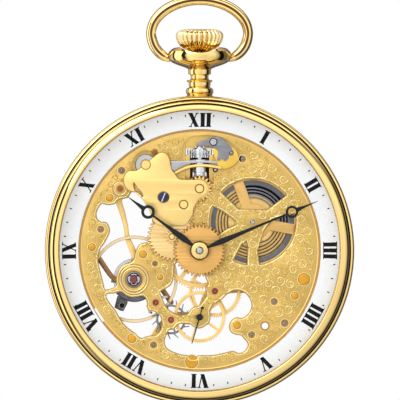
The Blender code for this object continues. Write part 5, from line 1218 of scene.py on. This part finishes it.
def build_stem():
    stem = [(0, 31.85), (0.5, 31.85), (0.5, 16.8), (0.28, 16.72), (0.28, 16.18), (0.5, 16.1), (0.5, 10.9),
            (0.32, 10.8), (0.32, 10.0), (0.26, 9.95), (0, 9.95)]
    piece("stem_turned", lathe(stem, steps=24, along="Z"), PINION_STEEL, "stem", "steel", "winding_stem")
    bore = circle(0.55, steps=24)
    fluted = [along_stem(plate([wheel_leaves(CENTRE, 16, tip, root, 0), bore], level, 0.05))
              for level, tip, root in (((14.5, 15.4), 1.88, 1.5), ((14.1, 14.5), 1.45, 1.3))]
    fluted.append(lathe([(0.55, 15.65), (0.95, 15.65), (0.95, 15.4), (0.55, 15.4)], steps=32, along="Z"))
    piece("winding_pinion_fine", joined(*fluted), PINION_STEEL, "winding", "steel", "winding_pinion")
    body = [(0.55, 13.85), (1.3, 13.85), (1.35, 13.8), (1.35, 13.7), (0.92, 13.68), (0.92, 13.02), (1.22, 13.0),
            (1.22, 11.9), (0.95, 11.85), (0.55, 11.8)]
    teeth = along_stem(plate([wheel_leaves(CENTRE, 12, 1.22, 0.95, 0), bore], (10.95, 11.95), 0.05))
    piece("sliding_pinion_fine", joined(lathe(body, steps=40, along="Z"), teeth), PINION_STEEL, "sliding", "steel",
          "sliding_pinion")


# ---- escapement, balance and rear bridges ----
def build_fork():
    to_balance = math.atan2(BALANCE[1] - FORK[1], BALANCE[0] - FORK[0])
    to_escape = math.atan2(ESCAPE[1] - FORK[1], ESCAPE[0] - FORK[0])
    level = (0.9, 1.1)
    lever = ribbon([FORK, polar(1.6, to_balance, FORK), polar(3.3, to_balance, FORK)], [0.36, 0.14, 0.2])
    solids = [plate([lever], level, 0.04)]
    for side, name, node in ((-1, "exit_stone", "exit_pallet"), (1, "entry_stone", "entry_pallet")):
        angle = to_escape + math.pi + side * math.radians(30)
        elbow = polar(3.62, angle - side * math.radians(11), ESCAPE)
        solids.append(plate([ribbon([FORK, elbow, polar(3.5, angle, ESCAPE)], [0.3, 0.22, 0.2])], level, 0.04))
        stone = ribbon([polar(3.55, angle, ESCAPE), polar(3.1, angle, ESCAPE)], [0.15, 0.15], 2)
        piece(name, plate([stone], (1.12, 1.3), 0.02), RUBY, "fork", "ruby", node)
        horn = [polar(3.15, to_balance + side * 0.04, FORK), polar(3.5, to_balance + side * 0.085, FORK)]
        solids.append(plate([ribbon(horn, [0.11, 0.08])], level, 0.03))
    solids.append(lathe(turned_arbor(-1.0, 1.45, (0.1, 1.15), 0.2), FORK, 16))
    piece("pallet_fork_fine", joined(*solids), STEEL, "fork", "steel", "pallet_fork")


def build_balance():
    front, rear = levels("balance_wheel")
    rim = lathe([(6.16, front + 0.05), (6.21, front), (6.6, front), (6.65, front + 0.05), (6.65, rear - 0.05),
                 (6.6, rear), (6.21, rear), (6.16, rear - 0.05)], BALANCE, 140)
    piece("balance_rim", rim, PALE_GOLD, "balance", "satin_gold", "balance_wheel")
    # the arms take the dark brown copy of the balance's gold: painted shade
    arms = [plate([circle(1.1, BALANCE, 40), circle(0.42, BALANCE, 20)], (1.7, 2.0), 0.04)]
    for half in (0, 180):
        path = [(-15.62, -0.9), (-14.5, -2.55), (-13.35, -4.1), (-12.2, -4.75), (-10.9, -4.5)]
        arms.append(plate([swung(ribbon(path, [0.42, 0.40, 0.38, 0.4, 0.5]), half, BALANCE)], (1.72, 1.98), 0.05))
    piece("balance_arms", joined(*arms), BALANCE_GOLD_IN_SHADE, "balance", "satin_gold")
    stud_outline = [(-13.55, -4.95), (-12.9, -5.0), (-12.85, -4.05), (-13.4, -3.95)]
    piece("hairspring_stud", plate([stud_outline], (2.2, 3.0), 0.05), GREY_STEEL, "case", "steel")
    screws = []
    for k in range(16):
        a = TURN * k / 16 + 0.2
        if abs(math.sin(a - math.radians(150))) > 0.1:
            head = [(0, rear - 0.02), (0.2, rear - 0.02), (0.2, rear + 0.1), (0, rear + 0.12)]
            screws.append(lathe(head, polar(6.38, a, BALANCE), 12))
    piece("balance_timing_screws", joined(*screws), WHEEL_GOLD, "balance", "satin_gold")
    staff = [(0, -0.45), (0.08, -0.45), (0.1, -0.3), (0.1, 0.1), (0.3, 0.15), (0.3, 1.2), (1.42, 1.2), (1.45, 1.24),
             (1.45, 1.4), (0.36, 1.42), (0.36, 2.25), (0.7, 2.25), (0.7, 2.45), (0.1, 2.46), (0.1, 2.85), (0, 2.9)]
    to_fork = math.atan2(FORK[1] - BALANCE[1], FORK[0] - BALANCE[0])
    pin = rod(polar(1.12, to_fork, BALANCE), 0.09, (1.3, 0.88), 12)
    piece("balance_staff_turned", joined(lathe(staff, BALANCE, 32), pin), STEEL, "balance", "steel", "balance_staff")
    turns, start, end, steps = 12, 0.85, 3.25, 500
    spiral = [polar(start + (end - start) * i / steps, TURN * turns * i / steps + 0.4, BALANCE)
              for i in range(steps + 1)]
    strip = plate([ribbon(spiral, [0.05] * len(spiral), 3, 1)], levels("hairspring"), 0.01, rounds=0)
    piece("hairspring_coil", strip, HAIR_STEEL, "case", "blued_steel", "hairspring")


def build_rear():
    outline = arc(18.2, math.radians(112), math.radians(-12), 60) + spline(
        [(17.8, -3.78), (9.5, -2.2), (6.0, -3.0), (3.5, -1.6), (1.6, -1.8), (0.0, -2.0), (-1.6, -1.4), (-2.1, 0.3),
         (-2.6, 4.0), (-4.3, 9.0), (-6.82, 16.87)], 4, closed=False)[1:-1]
    feet = ((-4.6, 15.6), (16.3, -1.95))
    window = [(-2.1, 14.0), (2.1, 14.0), (2.1, 15.9), (-2.1, 15.9)]
    holes = [circle(0.38, CENTRE, 24), circle(0.78, BARREL, 32), circle(0.55, CROWN_WHEEL, 24),
             circle(0.38, CLICK_PIVOT, 20), window] + [circle(0.5, at, 24) for at in feet]
    posts = [hoop(at, (0.56, 1.15), (0.06, 1.6), 32) for at in feet]
    piece("barrel_bridge_engraved", joined(plate([outline] + holes, layer("barrel_bridge", -0.48), 0.08), *posts),
          PLATE_GOLD, "case", "engraved_gold", "barrel_bridge")
    covered = [circle(6.6, BARREL, 60), circle(4.6, CROWN_WHEEL, 40), circle(1.1, feet[0], 20),
               circle(1.1, feet[1], 20), circle(2.5, CLICK_PIVOT, 24), circle(0.8, CENTRE, 20), window,
               ribbon([(13.2, 12.2), (14.5, 10.5), (15.4, 8.35), (15.6, 6.3)], [0.3] * 4)]
    scrolls = engraving(outline, covered, 1.9, -0.09, 11, (-7, 18.2, -4, 18.2))
    piece("barrel_bridge_scrolls", scrolls, RELIEF_GOLD, "case", "engraved_gold", sharp=60)
    for i, (at, lean) in enumerate(zip(feet, (25, 110))):
        driven(f"bridge_screw_{i + 1}", at, (0.85, 2.32, 1.95, lean), (0.4, (1.96, 0.1)), BLUED, "blued_steel",
               f"barrel_bridge_screw_{i + 1}")


def build_winding_wheels():
    mod = 2 * math.dist(CROWN_WHEEL, BARREL) / (36 + 52)
    for node, body, at, teeth, start, hole in (
            ("crown_wheel", "crown_wheel", CROWN_WHEEL, 36, 0, 0.9),
            ("ratchet_wheel", "ratchet", BARREL, 52, phase(CROWN_WHEEL, BARREL, 36, 52, 0), 0.68)):
        name = node + "_fine"
        mat = sunray(name + "_sunray", at)
        disc = plate([gear(at, teeth, mod, start), circle(hole, at, 32)], (2.0, 2.4), 0.06)
        piece(name, disc, mat, body, "satin_gold", node)
        r = teeth * mod / 2
        piece(name + "_bead", bead(at, (r - 0.9, r - 0.85, r - 0.75, r - 0.7), 2.39, 2.43, 90), RELIEF_GOLD, body,
              "satin_gold")
    driven("crown_wheel_screw_fine", CROWN_WHEEL, (1.5, 2.82, 2.45, 40), (0.5, (2.46, 1.5), 20), STEEL, "steel",
           "crown_wheel_screw")
    driven("ratchet_screw_fine", BARREL, (1.5, 2.87, 2.42, 120), (0.3, (2.5, 2.33), 20), STEEL, "steel",
           "ratchet_screw", body="ratchet")
    x, z = polar(mod * (52 / 2 + 1.05) + 0.08, math.radians(48), BARREL)  # the click's beak, between two teeth
    click = [polar(0.75, math.radians(a), CLICK_PIVOT) for a in (250, 275, 300, 325, 350, 15, 40, 65, 90, 115, 140)]
    click += [(11.25, 11.7), (10.9, 11.0), (11.1, 10.6), (x, z), (x + 0.35, z - 0.1), (x + 0.1, z + 1.0)]
    piece("click_fine", plate([click, circle(0.36, CLICK_PIVOT, 20)], levels("click"), 0.04), STEEL, "click", "steel",
          "click")
    spring = ribbon([(13.22, 12.22), (14.5, 10.52), (15.4, 8.35), (15.6, 6.3)], [0.11, 0.1, 0.1, 0.1])
    piece("click_spring_fine", plate([spring], levels("click_spring"), 0.03), STEEL, "case", "steel", "click_spring")


def build_train_bridge():
    feet = ((13.5, -9.5), (-6.9, -14.0))
    pivots = (THIRD, FOURTH, ESCAPE)
    rear = levels("train_bridge")[1]
    outline = ribbon([feet[0], (8.6, -5.6), *pivots, feet[1]], [1.5, 1.3, 1.0, 1.0, 0.9, 1.0], 10, 6)
    holes = [circle(0.42, at, 24) for at in pivots] + [circle(0.45, at, 24) for at in feet]
    posts = [hoop(at, (0.5, 0.95), (0.06, 2.5), 28) for at in feet]
    piece("train_bridge_engraved", joined(plate([outline] + holes, (2.3, rear), 0.07), *posts), PLATE_GOLD, "case",
          "engraved_gold", "train_bridge")
    keep = [circle(0.72, at, 20) for at in pivots] + [circle(1.05, at, 20) for at in feet]
    scrolls = engraving(outline, keep, rear, -0.08, 5, (-8, 15, -15, -4), (0.7, 0.5, 0.36, 0.26))
    piece("train_bridge_scrolls", scrolls, RELIEF_GOLD, "case", "engraved_gold", sharp=60)
    stone = [(0.17, 2.5), (0.17, rear - 0.06), (0.22, rear), (0.38, rear), (0.42, rear - 0.05), (0.42, 2.5)]
    piece("train_bridge_jewels", joined(*[lathe(stone, at, 24) for at in pivots]), RUBY, "case", "ruby")
    driven("train_bridge_screw_fine", feet[0], (0.8, 3.32, 3.0, 70), (0.35, (3.02, 0.5)), BLUED, "blued_steel",
           "train_bridge_screw")
    foot = (-6.6, -5.0)
    bridge = plate([ribbon([foot, (-6.55, -6.6), FORK], [0.75, 0.5, 0.65]), circle(0.2, FORK, 16)], (1.2, 1.5), 0.06)
    piece("pallet_bridge_fine", joined(bridge, rod(foot, 0.6, (0.06, 1.3), 24)), GROOVE_AND_SHADE_GOLD, "case",
          "engraved_gold", "pallet_bridge")


def build_cock():
    foot = (-12.4, 9.2)
    rear = levels("balance_cock")[1]
    left = [(-10.45, -0.9), (-10.9, 0.3), (-11.35, 1.5), (-11.5, 2.6), (-11.62, 3.6), (-12.3, 5.8), (-12.95, 7.55),
            (-13.6, 8.3)]
    right = [(-11.9, 7.5), (-11.45, 6.0), (-10.95, 3.8), (-10.8, 2.6), (-10.5, 1.6), (-9.95, 0.5), (-9.4, -0.8),
             (-9.25, -1.7)]
    outline = (arc(2.2, math.radians(72), math.radians(-255), 50, BALANCE) + left
               + arc(1.25, math.radians(215), math.radians(-35), 24, foot) + right)
    cock = plate([outline, circle(0.55, BALANCE, 24), circle(0.5, foot, 24)], (2.55, rear), 0.08)
    post = hoop(foot, (0.56, 1.2), (0.06, 2.8), 32)
    # the cock takes the paler cover gold so that its front face, shaded by the plate, looks lit: painted light
    piece("balance_cock_engraved", joined(cock, post), COVER_GOLD, "case", "engraved_gold", "balance_cock")
    keep = [circle(1.0, BALANCE, 20), circle(1.05, foot, 20)]
    piece("balance_cock_scrolls", engraving(outline, keep, rear, -0.05, 3, (-14, -7, -7, 11), (0.5, 0.36, 0.26)),
          RELIEF_GOLD, "case", "engraved_gold", sharp=60)
    stone = [(0, 2.95), (0.5, 2.95), (0.5, 3.12), (0.42, 3.2), (0, 3.24)]
    piece("balance_cock_jewel", lathe(stone, BALANCE, 28), RUBY, "case", "ruby")
    driven("cock_screw_fine", foot, (0.85, 3.62, 3.25, 15), (0.4, (3.26, 0.5)), BLUED, "blued_steel",
           "balance_cock_screw")
    level = levels("regulator")
    start, end, lean = math.radians(212), math.radians(304), math.radians(257)
    tail = arc(3.55, start, end, 24, BALANCE) + arc(2.5, end, start, 20, BALANCE)
    lug = [(-12.6, -7.0), (-11.75, -7.3), (-11.0, -7.75), (-11.05, -8.2), (-11.65, -9.35), (-12.1, -9.3),
           (-13.05, -8.8), (-12.95, -8.4)]
    neck = ribbon([polar(1.4, lean, BALANCE), polar(3.0, lean, BALANCE)], [0.4, 0.4])
    hole = (-11.9, -8.48)
    # a dark rod filling the lug's hole: painted shade
    piece("regulator_hole", rod(hole, 0.4, (level[0] + 0.06, level[1] - 0.06), 20), PAINTED_SHADE, "regulator", "grey_steel")
    solids = [plate(loops, level, bevel) for loops, bevel in (
        ([circle(1.7, BALANCE, 40), circle(0.9, BALANCE, 32)], 0.05), ([neck], 0.04), ([tail], 0.05),
        ([lug, circle(0.42, hole, 20)], 0.05))]
    piece("regulator_fine", joined(*solids), DULL_STEEL, "regulator", "grey_steel", "regulator")


# ---- stage ----
TONES = {"white": 1.0, "front": 0.80, "pale": 0.78, "mid": 0.5, "dim": 0.16, "black": 0.008}
WARM = (1, 0.985, 0.965)
STUDIO_POWER = 1.6


def build_world():
    """White to the eye; what the metal mirrors is a pale studio with dark bands round the line of the dial."""
    world = bpy.data.worlds.new("studio")
    bpy.context.scene.world = world
    world.use_nodes = True
    tree = world.node_tree
    tree.nodes.clear()
    place = add(tree, "TexCoord").outputs["Generated"]

    def toward(direction):
        """The cosine of the angle between what is looked at and a direction."""
        made = add(tree, "VectorMath", {"operation": "DOT_PRODUCT"})
        feed(tree, made.inputs[0], place)
        feed(tree, made.inputs[1], Vector(direction).normalized())
        return made.outputs["Value"]

    # 0 is straight back at the camera, 1 is straight behind the watch
    share = maths(tree, "DIVIDE", maths(tree, "ARCCOSINE", toward((0.06, -1.0, -0.04))), math.pi)

    def bands(*stops):
        return ramp(tree, share, [(at, tuple(TONES[name] * c for c in WARM)) for at, name in stops])

    front = (0.0, "front"), (0.13, "front")
    rim = (0.59, "white"), (0.61, "black"), (0.65, "black"), (0.68, "mid")
    behind = (0.80, "mid"), (0.84, "dim"), (0.88, "dim"), (0.94, "front"), (1.0, "front")
    left = bands(*front, (0.17, "pale"), (0.26, "pale"), (0.30, "mid"), (0.33, "black"), (0.40, "black"),
                 (0.42, "white"), *rim, *behind)
    upper_left = bands(*front, (0.19, "white"), (0.31, "pale"), (0.335, "black"), (0.44, "black"),
                       (0.465, "white"), *rim, *behind)
    lower_right = bands(*front, (0.19, "white"), (0.31, "white"), (0.39, "mid"), (0.44, "black"), (0.53, "black"),
                        (0.555, "dim"), (0.66, "dim"), (0.69, "mid"), *behind)
    across = toward((-0.66, 0.0, 0.75))
    steep = spread(tree, maths(tree, "ABSOLUTE", toward((0, 0, 1))), 0.3, 0.6)
    upper_left = mixed(tree, steep, left, upper_left)
    colour = mixed(tree, spread(tree, across, -0.25, 0.2), lower_right, upper_left)
    power = maths(tree, "MULTIPLY", spread(tree, across, -0.8, 0.5, 0.55, 1.12), STUDIO_POWER)
    studio = add(tree, "Background", Color=colour, Strength=power)
    plain = add(tree, "Background", Color=(1, 1, 1, 1))
    seen = add(tree, "MixShader", Fac=add(tree, "LightPath").outputs["Is Camera Ray"])
    feed(tree, seen.inputs[1], studio.outputs[0])
    feed(tree, seen.inputs[2], plain.outputs[0])
    add(tree, "OutputWorld", Surface=seen.outputs[0])


def build_stage():
    build_world()
    scene = bpy.context.scene
    light = bpy.data.lights.new("key", "SUN")
    light.energy = 0.9
    light.angle = math.radians(40)
    lamp = bpy.data.objects.new("key", light)
    lamp.rotation_euler = Vector((0.75, 1.0, -0.9)).to_track_quat("-Z", "Y").to_euler()
    scene.collection.objects.link(lamp)
    camera = bpy.data.cameras.new("camera")
    eye = bpy.data.objects.new("camera", camera)
    distance, wide = 0.8, 61.0 * MM
    camera.sensor_fit = "HORIZONTAL"
    camera.sensor_width = 36
    camera.lens = camera.sensor_width * distance / wide
    camera.clip_start, camera.clip_end = 0.05, 10
    eye.location = (0.06 * MM, -distance, (HAND_Z + 7.67) * MM)
    eye.rotation_euler = (math.pi / 2, 0, 0)
    scene.collection.objects.link(eye)
    scene.camera = eye
    scene.view_settings.view_transform = "Standard"


for build in (build_case, build_pendant, build_bow, build_crown, build_dial):
    build()
build_engraving(*build_mainplate())
for build in (build_jewels, build_barrel, build_train, build_motion_work, build_hands, build_keyless, build_stem,
              build_fork, build_balance, build_rear, build_winding_wheels, build_train_bridge, build_cock,
              build_stage):
    build()
